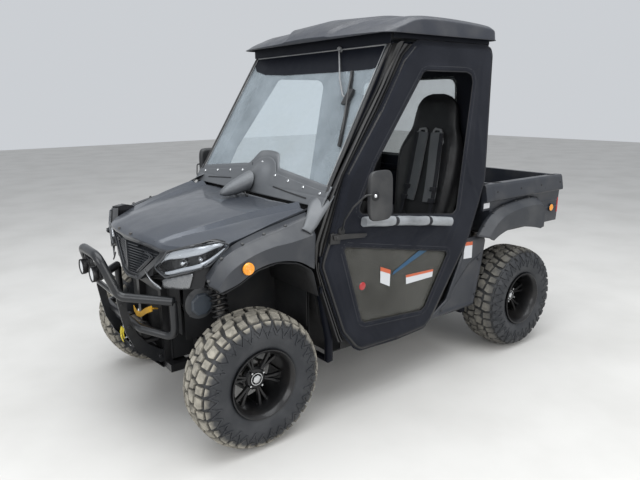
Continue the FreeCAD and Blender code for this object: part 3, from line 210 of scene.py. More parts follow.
screen_clear = clear_sheet("screen_clear", (0.9, 0.93, 0.93), 0.06, 0.34, (0.46, 0.52, 0.57))
vinyl_clear = clear_sheet("vinyl_clear", (0.52, 0.51, 0.47), 0.12, 0.3, (0.24, 0.24, 0.225))
lens_clear = clear_sheet("lens_clear", (0.93, 0.94, 0.95), 0.03, 0.01, (0.3, 0.3, 0.31), 0.12)
lens_red = coated("lens_red", (0.36, 0.012, 0.014), 0.15, 0.0, 0.6, (0.42, 0.03, 0.02))
lens_amber = coated("lens_amber", (0.85, 0.32, 0.02), 0.2, 0.0, 0.6, (0.9, 0.4, 0.05))
lamp_gloss = coated("lamp_gloss", (0.006, 0.006, 0.007), 0.3, 0.0, 0.3, (0.012, 0.012, 0.012))
radiator_core = coated("radiator_core", (0.05, 0.05, 0.05), 0.6, 0.5)
binding_tape = woven("binding_tape", (0.016, 0.017, 0.021), (0.03, 0.03, 0.034), 0.0016, 0.7)
thread_grey = moulded("thread_grey", (0.05, 0.052, 0.06), (0.08, 0.08, 0.085), 0.7)
vinyl_rolled = clear_sheet("vinyl_rolled", (0.7, 0.71, 0.72), 0.14, 0.75, (0.42, 0.44, 0.46))
lamp_silver = coated("lamp_silver", (0.62, 0.64, 0.67), 0.22, 0.35, 0.3, (0.7, 0.71, 0.72))
chin_silver = coated("chin_silver", (0.21, 0.216, 0.226), 0.26, 0.6, 0.3, (0.27, 0.275, 0.28))
# Flat black: the real black of the roll cage, screen frame and roof frame, and painted shade in the band across the
# top of the windscreen and inside the harness slots
flat_black_and_painted_shade = coated("flat_black_and_painted_shade", (0.003, 0.004, 0.008), 0.5, 0.0, 0.0, (0.006, 0.008, 0.012))
flat_black_and_painted_shade.set(Specular_IOR_Level=0.15)
seal_grey = moulded("seal_grey", (0.16, 0.165, 0.17), (0.25, 0.25, 0.25), 0.45)
label_white = coated("label_white", (0.56, 0.57, 0.59), 0.45, 0.0, 0.1, (0.5, 0.5, 0.5))
label_orange = coated("label_orange", (0.5, 0.1, 0.035), 0.45, 0.0, 0.1, (0.42, 0.12, 0.06))
pad_grey = woven("pad_grey", (0.11, 0.117, 0.125), (0.15, 0.155, 0.16), 0.0016, 0.8)
bezel_grey = moulded("bezel_grey", (0.17, 0.175, 0.18), (0.24, 0.24, 0.24), 0.4)
grille_black = coated("grille_black", (0.03, 0.033, 0.038), 0.3, 0.0, 0.35, (0.055, 0.055, 0.058))
can_grey = moulded("can_grey", (0.085, 0.089, 0.095), (0.12, 0.12, 0.12), 0.42)
chrome_ball = coated("chrome_ball", (0.75, 0.76, 0.78), 0.08, 1.0)
# Darkest black: the real black of the mirror's disc, bolts and wheel liners, and painted shade in the cowl's slots,
# the stake pockets, behind the grille and in the engine bay
deep_black_and_painted_shade = moulded("deep_black_and_painted_shade", (0.006, 0.0065, 0.008), (0.012, 0.012, 0.012), 0.7)
lamp_white = coated("lamp_white", (0.72, 0.74, 0.76), 0.12, 0.0, 0.8, (0.66, 0.67, 0.68))
rope_grey = coated("rope_grey", (0.16, 0.15, 0.14), 0.6, 0.4, 0.0, (0.2, 0.18, 0.15))
strap_yellow = woven("strap_yellow", (0.62, 0.5, 0.03), (0.42, 0.35, 0.08), 0.0018, 0.7)
strap_orange = woven("strap_orange", (0.75, 0.4, 0.02), (0.5, 0.3, 0.06), 0.0018, 0.7)
lid_grey = coated("lid_grey", (0.07, 0.085, 0.105), 0.4, 0.0, 0.2, (0.11, 0.12, 0.13))
bed_plastic = moulded("bed_plastic", (0.021, 0.024, 0.031), (0.042, 0.043, 0.047), 0.34, 1100.0, 0.0002)
vinyl_window = clear_sheet("vinyl_window", (0.86, 0.88, 0.88), 0.1, 0.2, (0.5, 0.52, 0.53))
web_blue = woven("web_blue", (0.03, 0.085, 0.16), (0.05, 0.1, 0.15), 0.0016, 0.7)

finishes = {
    "frame_black": frame_black, "cab_plastic": cab_plastic, "flare_plastic": flare_plastic,
    "rubber_black": rubber_black, "glass_clear": screen_clear, "cowl_grey": cowl_grey,
    "trim_plastic": trim_plastic, "lamp_housing": lamp_gloss, "lens_clear": lens_clear, "bar_black": bar_black,
    "radiator_core": radiator_core, "spring_steel": frame_black, "steel_dark": steel_dark,
    "cast_case": cast_case, "seat_vinyl": seat_vinyl, "door_fabric": door_fabric, "vinyl_clear": vinyl_clear,
    "hood_paint": hood_paint, "lens_red": lens_red, "tyre_rubber": tyre_rubber, "rim_black": rim_black,
}
slots = {row["node"]: row["material_slot"] for row in frame["record"]["subparts"]}
for node, item in frame["nodes"].items():
    item.data.materials.clear()
    shown = flat_black_and_painted_shade if node in ("roll_cage", "windscreen_frame") else finishes[slots[node]]
    item.data.materials.append(shown.material)


# Camera, floor and light

def set_camera():
    """The photo's own view, fitted."""
    yaw, pitch, roll = (math.radians(v) for v in (-127.068, -13.594, -0.508))
    sensor, picture_width, focal_pixels = 36.0, 640.0, 578.08
    forward = Vector((math.cos(pitch) * math.cos(yaw), math.cos(pitch) * math.sin(yaw), math.sin(pitch)))
    right = Vector((math.sin(yaw), -math.cos(yaw), 0.0))
    up = right.cross(forward)
    across = right * math.cos(roll) + up * math.sin(roll)
    upright = up * math.cos(roll) - right * math.sin(roll)
    data = bpy.data.cameras.new("photo_camera")
    data.sensor_width = sensor
    data.lens = focal_pixels / picture_width * sensor
    camera = bpy.data.objects.new("photo_camera", data)
    bpy.context.collection.objects.link(camera)
    turn = Matrix((across, upright, -forward)).transposed().to_4x4()
    camera.matrix_world = Matrix.Translation((2.1847, 2.8063, 1.5986)) @ turn
    bpy.context.scene.camera = camera


def area_light(name, place, aim, size, power, colour=(1.0, 1.0, 1.0)):
    data = bpy.data.lights.new(name, "AREA")
    data.shape = "RECTANGLE"
    data.size, data.size_y = size
    data.energy = power
    data.color = colour
    lamp = bpy.data.objects.new(name, data)
    bpy.context.collection.objects.link(lamp)
    direction = Vector(aim) - Vector(place)
    lamp.matrix_world = Matrix.Translation(place) @ direction.to_track_quat("-Z", "Y").to_matrix().to_4x4()


def set_stage():
    bm = bmesh.new()
    bmesh.ops.create_grid(bm, x_segments=1, y_segments=1, size=20.0)
    mesh = bpy.data.meshes.new("floor")
    bm.to_mesh(mesh)
    floor = bpy.data.objects.new("floor", mesh)
    bpy.context.collection.objects.link(floor)
    f = Finish("floor_pale", (0.62, 0.61, 0.59), 0.9)
    f.set(Base_Color=f.aged((0.56, 0.55, 0.53), 1.5, 0.4, 0.7))
    mesh.materials.append(f.material)
    world = bpy.data.worlds.new("studio")
    bpy.context.scene.world = world
    world.use_nodes = True
    back = world.node_tree.nodes["Background"]
    back.inputs["Color"].default_value = (0.80, 0.83, 0.87, 1.0)
    back.inputs["Strength"].default_value = 0.75
    area_light("sky_soft", (0.4, 0.6, 5.2), (0.0, 0.0, 0.0), (6.0, 5.0), 300.0, (0.97, 0.99, 1.0))
    area_light("front_soft", (5.2, 2.4, 3.0), (0.4, 0.0, 0.8), (3.5, 3.0), 110.0)
    area_light("side_soft", (-0.4, 5.6, 2.8), (-0.2, 0.0, 0.8), (4.5, 3.0), 110.0, (1.0, 0.99, 0.97))


set_camera()
set_stage()


# Shaping helpers. Shapes are made in millimetres and brought to metres as they are finished.

def piece(name, bm, finish, body, nodes=(), crease=40.0, bevel=0.0, levels=0, wall=0.0, open_sheet=False,
          side=1.0):
    """Turns a bmesh, drawn on the left, into a finished piece on a body. Sheets keep the way their faces look."""
    other_side(bm, side)
    bmesh.ops.remove_doubles(bm, verts=bm.verts, dist=0.01)
    if not (wall or open_sheet):
        bmesh.ops.recalc_face_normals(bm, faces=bm.faces)
    bmesh.ops.scale(bm, vec=(MM, MM, MM), verts=bm.verts)
    mesh = bpy.data.meshes.new(name)
    bm.to_mesh(mesh)
    bm.free()
    mesh.materials.append(finish.material)
    mesh.shade_smooth()
    mesh.set_sharp_from_angle(angle=math.radians(crease))
    item = bpy.data.objects.new(name, mesh)
    bpy.context.collection.objects.link(item)
    if wall:
        sheet = item.modifiers.new("wall", "SOLIDIFY")
        sheet.thickness = wall * MM
        sheet.offset = -1.0
    if bevel:
        edge = item.modifiers.new("edge", "BEVEL")
        edge.width = bevel * MM
        edge.segments = 2
        edge.limit_method = "ANGLE"
        edge.angle_limit = math.radians(crease)
    if levels:
        smooth = item.modifiers.new("smooth", "SUBSURF")
        smooth.levels = levels
        smooth.render_levels = levels
    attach(item, body)
    if nodes:
        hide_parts(*nodes)
    return item


def mix(a, b, share):
    return a + (b - a) * share


def ease(value, low, high):
    """0 below low, 1 above high, and smooth between them."""
    t = min(1, max(0, (value - low) / (high - low)))
    return t * t * (3.0 - 2.0 * t)


def rounded(points, bend, closed=False, steps=5):
    """The same run of points with its corners rounded."""
    run = []
    count = len(points)
    for i in range(count):
        corner = Vector(points[i])
        if not closed and i in (0, count - 1):
            run.append(corner)
            continue
        back = Vector(points[i - 1]) - corner
        on = Vector(points[(i + 1) % count]) - corner
        half = max(0.05, back.angle(on) / 2.0)
        reach = min(bend / math.tan(half) if half < 1.56 else 0.0, 0.45 * back.length, 0.45 * on.length)
        start = corner + back.normalized() * reach
        end = corner + on.normalized() * reach
        for k in range(steps + 1):
            t = k / steps
            run.append(start * (1.0 - t) ** 2 + corner * 2.0 * t * (1.0 - t) + end * t * t)
    return run


def through(points, share):
    """Place on a smooth line through points, share running from 0 to 1."""
    spans = len(points) - 1
    at = min(spans - 1e-6, max(0, share * spans))
    i = int(at)
    t = at - i
    p1, p2 = Vector(points[i]), Vector(points[i + 1])
    p0 = Vector(points[i - 1]) if i else p1 * 2.0 - p2
    p3 = Vector(points[i + 2]) if i + 2 <= spans else p2 * 2.0 - p1
    return 0.5 * (p1 * 2.0 + (p2 - p0) * t + (p0 * 2.0 - p1 * 5.0 + p2 * 4.0 - p3) * t * t
                  + (p1 * 3.0 - p0 - p2 * 3.0 + p3) * t * t * t)


def slab(bm, outline, run):
    """Closed plate: an outline of 3-D points carried along a run."""
    face = bm.faces.new([bm.verts.new(p) for p in outline])
    grown = bmesh.ops.extrude_face_region(bm, geom=[face], use_keep_orig=True)["geom"]
    verts = [v for v in grown if isinstance(v, bmesh.types.BMVert)]
    bmesh.ops.translate(bm, vec=run, verts=verts)


def block(bm, low, high):
    """Box between two corners."""
    (x0, y0, z0), (x1, y1, z1) = low, high
    slab(bm, [(x0, y0, z0), (x0, y1, z0), (x0, y1, z1), (x0, y0, z1)], (x1 - x0, 0, 0))


def lathe(bm, profile, centre, axis="Y", steps=48, flip=1.0, start=0.0):
    """Turned form from (radius, offset along the axis) points."""
    centre = Vector(centre)
    unit = {"X": Vector((1, 0, 0)), "Y": Vector((0, 1, 0)), "Z": Vector((0, 0, 1))}[axis] \
        if isinstance(axis, str) else Vector(axis).normalized()
    side = unit.orthogonal().normalized()
    side.rotate(Matrix.Rotation(math.radians(start), 3, unit))
    verts = [bm.verts.new(centre + side * r + unit * flip * h) for r, h in profile]
    edges = [bm.edges.new(pair) for pair in zip(verts, verts[1:])]
    bmesh.ops.spin(bm, geom=verts + edges, cent=centre, axis=unit, angle=2.0 * math.pi, steps=steps, use_merge=True)


def tube(bm, points, radius, bend=60.0, fine=3):
    """Round bar along a run of points with rounded corners."""
    data = bpy.data.curves.new("run", "CURVE")
    data.dimensions = "3D"
    data.bevel_depth = radius
    data.bevel_resolution = fine
    data.use_fill_caps = True
    path = rounded(points, bend)
    spline = data.splines.new("POLY")
    spline.points.add(len(path) - 1)
    for point, place in zip(spline.points, path):
        point.co = (*place, 1)
    item = bpy.data.objects.new("run", data)
    mesh = bpy.data.meshes.new_from_object(item)
    bm.from_mesh(mesh)
    bpy.data.objects.remove(item)
    bpy.data.curves.remove(data)
    bpy.data.meshes.remove(mesh)


def surface(bm, across, along, place):
    """Grid of cells whose corners are put in place by (u, v), both from 0 to 1."""
    for v in bmesh.ops.create_grid(bm, x_segments=across, y_segments=along, size=0.5)["verts"]:
        v.co = place(v.co.x + 0.5, v.co.y + 0.5)


def studs(bm, places, normal, radius, height, sides=12):
    """Low bolt heads with a bevelled top."""
    normal = Vector(normal).normalized()
    for place in places:
        profile = [(0, height), (radius * 0.75, height), (radius, height * 0.6), (radius, 0), (0, 0)]
        lathe(bm, profile, place, normal, sides)


def other_side(bm, sign):
    """Carries a left-hand shape over to the right."""
    if sign < 0:
        bmesh.ops.scale(bm, vec=(1, -1, 1), verts=bm.verts)
        bmesh.ops.reverse_faces(bm, faces=bm.faces)


def both_sides(bm, merge=-1.0):
    """Adds the other half, joined at the middle where a merge distance is given."""
    bmesh.ops.mirror(bm, geom=bm.verts[:] + bm.edges[:] + bm.faces[:], axis="Y", merge_dist=merge)


def absorb(bm, other):
    """Adds another bmesh's form to this one and frees it."""
    spare = bpy.data.meshes.new("spare")
    other.to_mesh(spare)
    other.free()
    bm.from_mesh(spare)
    bpy.data.meshes.remove(spare)


def add_twin(bm):
    """Adds the right-hand twin of a left-hand form."""
    twin = bm.copy()
    other_side(twin, -1)
    absorb(bm, twin)


def face_out(bm, axis, way=1.0):
    """Turns an open sheet's faces towards one end of an axis."""
    bmesh.ops.recalc_face_normals(bm, faces=bm.faces)
    if way * sum(getattr(f.normal, axis) for f in bm.faces) < 0:
        bmesh.ops.reverse_faces(bm, faces=bm.faces)


def drawn_rim(bm):
    """Extrudes the open rim of a sheet and returns the new vertices."""
    rim = [e for e in bm.edges if e.is_boundary]
    made = bmesh.ops.extrude_edge_only(bm, edges=rim)["geom"]
    return [v for v in made if isinstance(v, bmesh.types.BMVert)]


def net(bm, rows):
    """Grid of cells over rows of points that have one count."""
    across, along = len(rows[0]) - 1, len(rows) - 1
    surface(bm, across, along, lambda u, v: rows[round(v * along)][round(u * across)])


sides = (("left", 1), ("right", -1))


# Wheels

tyre_radius = 330.0


def carcass_line(half):
    """Half section of a tyre, from the middle of the tread to the bead: (offset, radius)."""
    return [(0, 314), (0.40 * half, 312.5), (0.62 * half, 308), (0.80 * half, 299), (0.915 * half, 284),
            (0.965 * half, 266), (half - 1.0, 238), (0.985 * half, 214), (0.93 * half, 192),
            (0.90 * half, 180), (0.85 * half, 170), (0.78 * half, 160), (0.78 * half, 153)]


def wrap(line, centre, u, s, height):
    """Point on a tyre: arc u round it, s across from the middle of the tread, height off its skin."""
    side = 1.0 if s >= 0 else -1.0
    rest = abs(s)
    for (y0, r0), (y1, r1) in zip(line, line[1:]):
        span = math.hypot(y1 - y0, r1 - r0)
        if rest <= span or (y1, r1) == line[-1]:
            t = rest / span
            y, r = mix(y0, y1, t), mix(r0, r1, t)
            out_y, out_r = (r0 - r1) / span, (y1 - y0) / span
            break
        rest -= span
    r += out_r * height
    y += out_y * height
    turn = u / tyre_radius
    return Vector((centre[0] + math.sin(turn) * r, centre[1] + side * y, centre[2] + math.cos(turn) * r))


def lug(bm, line, centre, outline, heights, draft=3.0, dust=0.0):
    """Tread block from an outline of (u, s) points, its height given at each one."""
    layer = bm.verts.layers.float["dust"]
    mid_u = sum(p[0] for p in outline) / len(outline)
    mid_s = sum(p[1] for p in outline) / len(outline)
    foot, top = [], []
    for (u, s), h in zip(outline, heights):
        foot.append(bm.verts.new(wrap(line, centre, u, s, -1)))
        size = max(1, math.hypot(u - mid_u, s - mid_s))
        shrink = 1.0 - draft / size
        top.append((u, s, shrink, h))
    tops = [bm.verts.new(wrap(line, centre, mix(mid_u, u, k), mix(mid_s, s, k), h)) for u, s, k, h in top]
    count = len(outline)
    for v, (u, s) in zip(tops, outline):
        v[layer] = dust * (1.0 - ease(abs(s), 98, 118))
    for v in foot:
        v[layer] = dust * 0.25
    for i in range(count):
        j = (i + 1) % count
        bm.faces.new((foot[i], foot[j], tops[j], tops[i]))
    if count == 4:
        bm.faces.new(tops)
    else:
        middle = bm.verts.new(wrap(line, centre, mid_u, mid_s, sum(heights) / count))
        middle[layer] = dust * (1.0 - ease(abs(mid_s), 98, 118))
        for i in range(count):
            bm.faces.new((tops[i], tops[(i + 1) % count], middle))
    bm.faces.new(foot[::-1])


pitches = 17
tread_blocks = (
    # outline of (share of a pitch, share of the half tread), and the heights at its corners
    (((-0.10, -0.04), (0.30, 0.05), (0.36, 0.34), (0.02, 0.42), (-0.16, 0.24)), (16,) * 5),
    (((0.46, 0.10), (0.82, 0.02), (0.78, 0.36), (0.56, 0.42)), (16,) * 4),
    (((0.00, 0.50), (0.40, 0.42), (0.50, 0.66), (0.44, 0.84), (0.08, 0.86)), (16, 16, 15, 13, 13)),
    (((0.58, 0.52), (0.90, 0.50), (0.92, 0.84), (0.60, 0.86)), (16, 16, 13, 13)),
    (((0.06, 0.92), (0.44, 0.90), (0.42, 1.16), (0.26, 1.34), (0.10, 1.16)), (13, 13, 9, 5, 9)),
    (((0.58, 0.92), (0.92, 0.90), (0.86, 1.10), (0.66, 1.12)), (13, 13, 9, 9)),
)
side_ribs = (
    # zigzag ribs on the sidewall: (share of a pitch, share of the half tread) from end to end
    ((0.02, 1.12), (0.26, 1.50), (0.50, 1.12)),
    ((0.50, 1.06), (0.66, 1.36), (0.76, 1.62), (0.88, 1.34), (1.02, 1.06)),
)


def tyre(name, centre, width, body, dust):
    half = width / 2.0
    line = carcass_line(half)
    bm = bmesh.new()
    layer = bm.verts.layers.float.new("dust")
    profile = [(r, y) for y, r in line]
    profile = [(r, -y) for r, y in reversed(profile)] + profile[1:] + [(150.5, 0.74 * half), (150.5, -0.74 * half)]
    lathe(bm, profile + profile[:1], centre, "Y", 72)
    for v in bm.verts:
        v[layer] = 0.12 * dust * ease(math.hypot(v.co.x - centre[0], v.co.z - centre[2]), 296, 311)
    pitch = 2.0 * math.pi * tyre_radius / pitches
    tread = 0.92 * half
    for i in range(pitches):
        for way in (1, -1):
            shift = (0.5 if way < 0 else 0.0) + i
            for outline, heights in tread_blocks:
                spots = [((shift + u) * pitch, way * s * tread) for u, s in outline]
                if way < 0:
                    spots = [((shift - u) * pitch, s) for (u, s), (_, s) in zip(outline, spots)]
                lug(bm, line, centre, spots, heights, dust=dust)
            for rib in side_ribs:
                for (u0, s0), (u1, s1) in zip(rib, rib[1:]):
                    run = Vector(((u1 - u0) * pitch, (s1 - s0) * tread)).normalized() * 4.6
                    spots = [((shift + u0) * pitch + run.y, (s0 * tread - run.x)),
                             ((shift + u1) * pitch + run.y, (s1 * tread - run.x)),
                             ((shift + u1) * pitch - run.y, (s1 * tread + run.x)),
                             ((shift + u0) * pitch - run.y, (s0 * tread + run.x))]
                    lug(bm, line, centre, [(u, way * s) for u, s in spots], (4.6,) * 4, 1.5)
    piece(name + "_tread", bm, tyre_rubber, body, (name,), 30)


def wheel(name, centre, width, tyre_width, side, body, turn):
    """Alloy wheel: stepped flange, deep barrel with flats, six forked spokes, nuts and a hex cap."""
    half = width / 2.0
    bead = 0.78 * tyre_width / 2.0
    lip = 0.90 * tyre_width / 2.0
    bm = bmesh.new()
    profile = [(150, -bead), (150, bead - 4), (158, lip - 2), (168.5, lip), (168.5, lip + 7), (164, lip + 8),
               (158, lip + 2), (152, lip - 8), (148, lip - 14), (143, 0.5 * half), (139, 0.30 * half),
               (139, -bead + 8), (144, -bead)]
    lathe(bm, profile + profile[:1], centre, "Y", 72, side)
    face = 0.30 * half
    hub = [(0, face - 40), (50, face - 40), (56, face - 30), (56, face - 12), (46, face - 3),
           (34, face - 1), (31, face - 6), (0, face - 6)]
    lathe(bm, hub, centre, "Y", 40, side)
    blank = bmesh.new()
    for lean in (-1, 1):
        # one leg of a forked spoke, from hub to barrel
        outline = [(44, lean * 8.0), (92, lean * 16.0), (142, lean * 31.0), (142, lean * 14.0),
                   (96, lean * 3.5), (44, -lean * 2.0)]
        slab(blank, [(x, 0, r) for r, x in outline], (0, 20, 0))
    bmesh.ops.recalc_face_normals(blank, faces=blank.faces)
    bmesh.ops.bevel(blank, geom=blank.edges[:], offset=2.0, segments=1, profile=0.5, affect="EDGES", material=-1)
    spoke = bpy.data.meshes.new("spoke")
    blank.to_mesh(spoke)
    blank.free()
    for i in range(6):
        before = set(bm.verts)
        bm.from_mesh(spoke)
        made = [v for v in bm.verts if v not in before]
        for v in made:
            sink = mix(-16, 6, ease(v.co.z, 50, 142))
            v.co = Vector((v.co.x, side * (v.co.y + face - 22.0 + sink * 0.4), v.co.z))
        spun = Matrix.Rotation(math.radians(60.0 * i + turn), 3, "Y")
        bmesh.ops.rotate(bm, cent=(0, 0, 0), matrix=spun, verts=made)
        bmesh.ops.translate(bm, vec=centre, verts=made)
        # flat segment of the barrel behind the spokes
        rib = [(138.5, -3), (138.5, 3), (131, 2), (131, -2)]
        for way in (-1, 1):
            spots = []
            for r, w in rib:
                angle = math.radians(60.0 * i + turn + way * 14.0)
                spots.append(Vector((centre[0] + math.sin(angle) * r + math.cos(angle) * w,
                                     centre[1] + side * (-bead + 14.0),
                                     centre[2] + math.cos(angle) * r - math.sin(angle) * w)))
            slab(bm, spots, (0, side * (bead + face - 24.0), 0))
    bpy.data.meshes.remove(spoke)
    piece(name + "_wheel", bm, rim_black, body, (name,), 30)
    bm = bmesh.new()
    front = centre[1] + side * face
    for i in range(4):
        angle = math.radians(90.0 * i + turn + 20.0)
        spot = Vector((centre[0] + math.sin(angle) * 44.0, front - side * 6.0, centre[2] + math.cos(angle) * 44.0))
        nut = [(0, 16), (5, 16), (7.5, 12), (8.5, 0), (0, 0)]
        lathe(bm, nut, spot, (0, side, 0), 6)
    cap = [(0, 17), (13, 17), (21, 14), (22, 0), (0, 0)]
    lathe(bm, cap, (centre[0], front - side * 6.0, centre[2]), (0, side, 0), 6)
    ring = [(27, -6), (27, 5), (30.5, 5), (30.5, -6)]
    lathe(bm, ring + ring[:1], (centre[0], front, centre[2]), "Y", 36, side)
    piece(name + "_nuts", bm, bright_steel, body, (), 30)


for label, g in sides:
    for end, x, y, tyre_width, rim_width, turn in (("front", 930, 610, 229, 202, 16),
                                                   ("rear", -1020, 617, 279, 250, 40)):
        body = "wheel_" + end + "_" + label
        middle = (x, g * y, tyre_radius)
        tyre("tyre_" + end + "_" + label, middle, tyre_width, body, 1.0 if end == "front" else 0.45)
        wheel("rim_" + end + "_" + label, middle, rim_width, tyre_width, g, body, turn)

# Cloth doors

def inside(point, outline):
    x, z = point
    held = False
    for (x0, z0), (x1, z1) in zip(outline, outline[1:] + outline[:1]):
        if (z0 > z) != (z1 > z) and x < (x1 - x0) * (z - z0) / (z1 - z0) + x0:
            held = not held
    return held


def nearest(point, outline):
    """Distance from a point to a closed outline, and the closest point on it."""
    best, spot = 1e9, point
    px, pz = point
    for (x0, z0), (x1, z1) in zip(outline, outline[1:] + outline[:1]):
        dx, dz = x1 - x0, z1 - z0
        size = dx * dx + dz * dz
        t = max(0, min(1, ((px - x0) * dx + (pz - z0) * dz) / size)) if size else 0.0
        qx, qz = x0 + dx * t, z0 + dz * t
        d = math.hypot(px - qx, pz - qz)
        if d < best:
            best, spot = d, (qx, qz)
    return best, spot


def closed_line(points, bend):
    return [(p.x, p.y) for p in rounded(points, bend, True)]


def trimmed_grid(outline, holes, cell):
    """Flat grid in X and Z, cut to an outline with holes, its rim drawn onto the lines."""
    bm = bmesh.new()
    xs = [p[0] for p in outline]
    zs = [p[1] for p in outline]
    wide, tall = max(xs) - min(xs), max(zs) - min(zs)
    bmesh.ops.create_grid(bm, x_segments=int(wide / cell), y_segments=int(tall / cell), size=0.5)
    for v in bm.verts:
        v.co = Vector((min(xs) + (v.co.x + 0.5) * wide, min(zs) + (v.co.y + 0.5) * tall, 0))
    lost = []
    for face in bm.faces:
        middle = face.calc_center_median()
        spot = (middle.x, middle.y)
        if not inside(spot, outline) or any(inside(spot, hole) for hole in holes):
            lost.append(face)
    bmesh.ops.delete(bm, geom=lost, context="FACES")
    rim = [v for v in bm.verts if v.is_boundary]
    for v in rim:
        spots = [nearest((v.co.x, v.co.y), line) for line in [outline] + holes]
        v.co.x, v.co.y = min(spots)[1]
    inner = [v for v in bm.verts if not v.is_boundary]
    for _ in range(3):
        bmesh.ops.smooth_vert(bm, verts=inner, factor=0.5, use_axis_x=True, use_axis_y=True)
    return bm


door_line = [(369, 342), (453, 446), (590, 823), (528, 970), (426, 1254), (200, 1550), (27, 1813), (-50, 1880),
             (-84, 1893), (-630, 1893), (-676, 1878), (-690, 1840), (-650, 1133), (-513, 791),
             (-213, 363), (-160, 322), (57, 309), (330, 318)]
upper_window = [(-128, 1742), (-440, 1742), (-480, 1728), (-494, 1690), (-372, 990), (-340, 968),
                (330, 1050), (352, 1066), (350, 1090), (240, 1290), (-98, 1732)]
lower_window = [(452, 888), (436, 902), (-296, 762), (-312, 744), (-140, 462), (-110, 446), (312, 478), (336, 496)]
door_middle = Vector((-80, 1050))
door_folds = (
    # from (x, z) to (x, z), half width and height of each crease in the cloth
    (-250, 930, 60, 800, 26, 4.5), (-200, 890, 220, 850, 20, 3.5), (60, 985, 420, 905, 22, 4),
    (-330, 900, -250, 800, 22, 4), (-420, 960, -330, 820, 26, 4.5), (120, 940, 400, 880, 15, -3),
    (-120, 960, 30, 830, 18, -3.5), (330, 400, 250, 330, 14, 4), (290, 420, 200, 330, 12, -3),
    (240, 430, 150, 330, 13, 3.5), (60, 430, 20, 330, 16, 2.5), (-60, 420, -90, 330, 14, 2.5),
    (-540, 1500, -600, 1200, 24, 3.5), (-560, 1750, -520, 1300, 20, -3), (-610, 1820, -500, 1760, 20, 3),
    (-430, 1300, -560, 1000, 22, 3.5), (-450, 1150, -600, 1050, 20, -2.5), (-300, 1840, -60, 1800, 26, 2.5),
    (460, 640, 500, 800, 20, 2.5), (400, 480, 480, 620, 18, -2),
)


def door_plane(z):
    """Place of the door's outer face across, which leans in above the sill."""
    return 706.0 if z < 1000.0 else 706.0 - 36.0 * (z - 1000.0) / 950.0


def fold_height(x, z):
    """Height of the cloth's creases at a place on the door."""
    total = 0.0
    for x0, z0, x1, z1, width, height in door_folds:
        dx, dz = x1 - x0, z1 - z0
        t = ((x - x0) * dx + (z - z0) * dz) / (dx * dx + dz * dz)
        if -0.3 < t < 1.3:
            off = abs((x - x0) * dz - (z - z0) * dx) / math.hypot(dx, dz)
            if off < width * 2.0:
                ends = ease(t, -0.3, 0.15) * ease(1.3 - t, 0, 0.45)
                total += height * math.exp(-(off / width * 1.6) ** 2) * ends
    return total


def door_cloth(label, g):
    """Sheet over the door's frame: wrapped edge, zip ridges, hemmed windows and slack creases."""
    outline = closed_line(door_line, 55)
    upper = closed_line(upper_window, 26)
    lower = closed_line(lower_window, 16)
    bm = trimmed_grid(outline, [upper, lower], 9.5)
    for v in bm.verts:
        x, z = v.co.x, v.co.y
        edge = nearest((x, z), outline)[0]
        pane = min(nearest((x, z), upper)[0], nearest((x, z), lower)[0])
        wrap_in = 20.0 * (1.0 - ease(edge, -14, 44)) * 1.7
        y = door_plane(z) - min(22, wrap_in)
        y -= 1.8 * math.exp(-((edge - 50.0) / 4.5) ** 2)
        front = x > 60.0 + (z < 700.0) * 300.0
        if front and z > 420.0:
            y += 3.0 * math.exp(-((edge - 17.0) / 5.0) ** 2) + 2.5 * math.exp(-((edge - 33.0) / 5.0) ** 2)
        y += 1.6 * (1.0 - ease(pane, 26, 31)) - 3.0 * (1.0 - ease(pane, 0, 7))
        slack = ease(edge, 30, 90) * ease(pane, 8, 45)
        y += slack * (fold_height(x, z) - 1.5)
        v.co = Vector((x, y, z))
    face_out(bm, "y")
    cloth = piece("door_cloth_" + label, bm, door_fabric, "door_" + label, ("door_panel_" + label,),
                  60, wall=3.0, side=g)
    # inner frame of round tube behind the cloth, and a bound rim round each window
    bm = bmesh.new()
    frame_run = []
    for x, z in closed_line(door_line, 60):
        # the tube runs 20 mm inside the cloth's outline, drawn in towards the door's middle
        inward = (door_middle - Vector((x, z))).normalized() * 20.0
        x, z = x + inward.x, z + inward.y
        frame_run.append((x, door_plane(z) - 19.0, z))
    tube(bm, frame_run + frame_run[:1], 9, 4, 2)
    frame_tube = piece("door_tube_" + label, bm, frame_black, "door_" + label, (), 50, side=g)
    bm = bmesh.new()
    for line in (upper, lower):
        run = [(x, door_plane(z) - 2.2, z) for x, z in line]
        tube(bm, run + run[:1], 3.2, 2, 1)
    binding = piece("door_binding_" + label, bm, binding_tape, "door_" + label, (), 60, side=g)
    cut = (flat_area(outline) - flat_area(upper) - flat_area(lower)) * MM * MM
    return cloth, frame_tube, binding, cut


def flat_area(outline):
    """Area inside a closed line."""
    return abs(sum(x0 * z1 - x1 * z0 for (x0, z0), (x1, z1) in zip(outline, outline[1:] + outline[:1]))) / 2.0


def stitches(bm, line, inset, depth, pitch=11.0, length=6.5):
    """Row of thread stitches that follows a closed (x, z) line at a distance."""
    path = [Vector((x, z)) for x, z in line]
    centre = sum(path, Vector((0, 0))) / len(path)
    walked = 0.0
    for a, b in zip(path, path[1:] + path[:1]):
        run = b - a
        if run.length < 1e-6:
            continue
        unit = run.normalized()
        out = Vector((unit.y, -unit.x))
        if (a - centre).dot(out) < 0:
            out = -out
        at = pitch - walked
        while at < run.length:
            spot = a + unit * at + out * inset
            end = spot + unit * length
            y0 = depth(spot.x, spot.y)
            p = (Vector((spot.x, y0, spot.y)), Vector((end.x, y0, end.y)))
            w = Vector((out.x, 0, out.y)) * 0.9
            slab(bm, [p[0] - w, p[0] + w, p[1] + w, p[1] - w], (0, 1.1, 0))
            at += pitch
        walked = (walked + run.length) % pitch


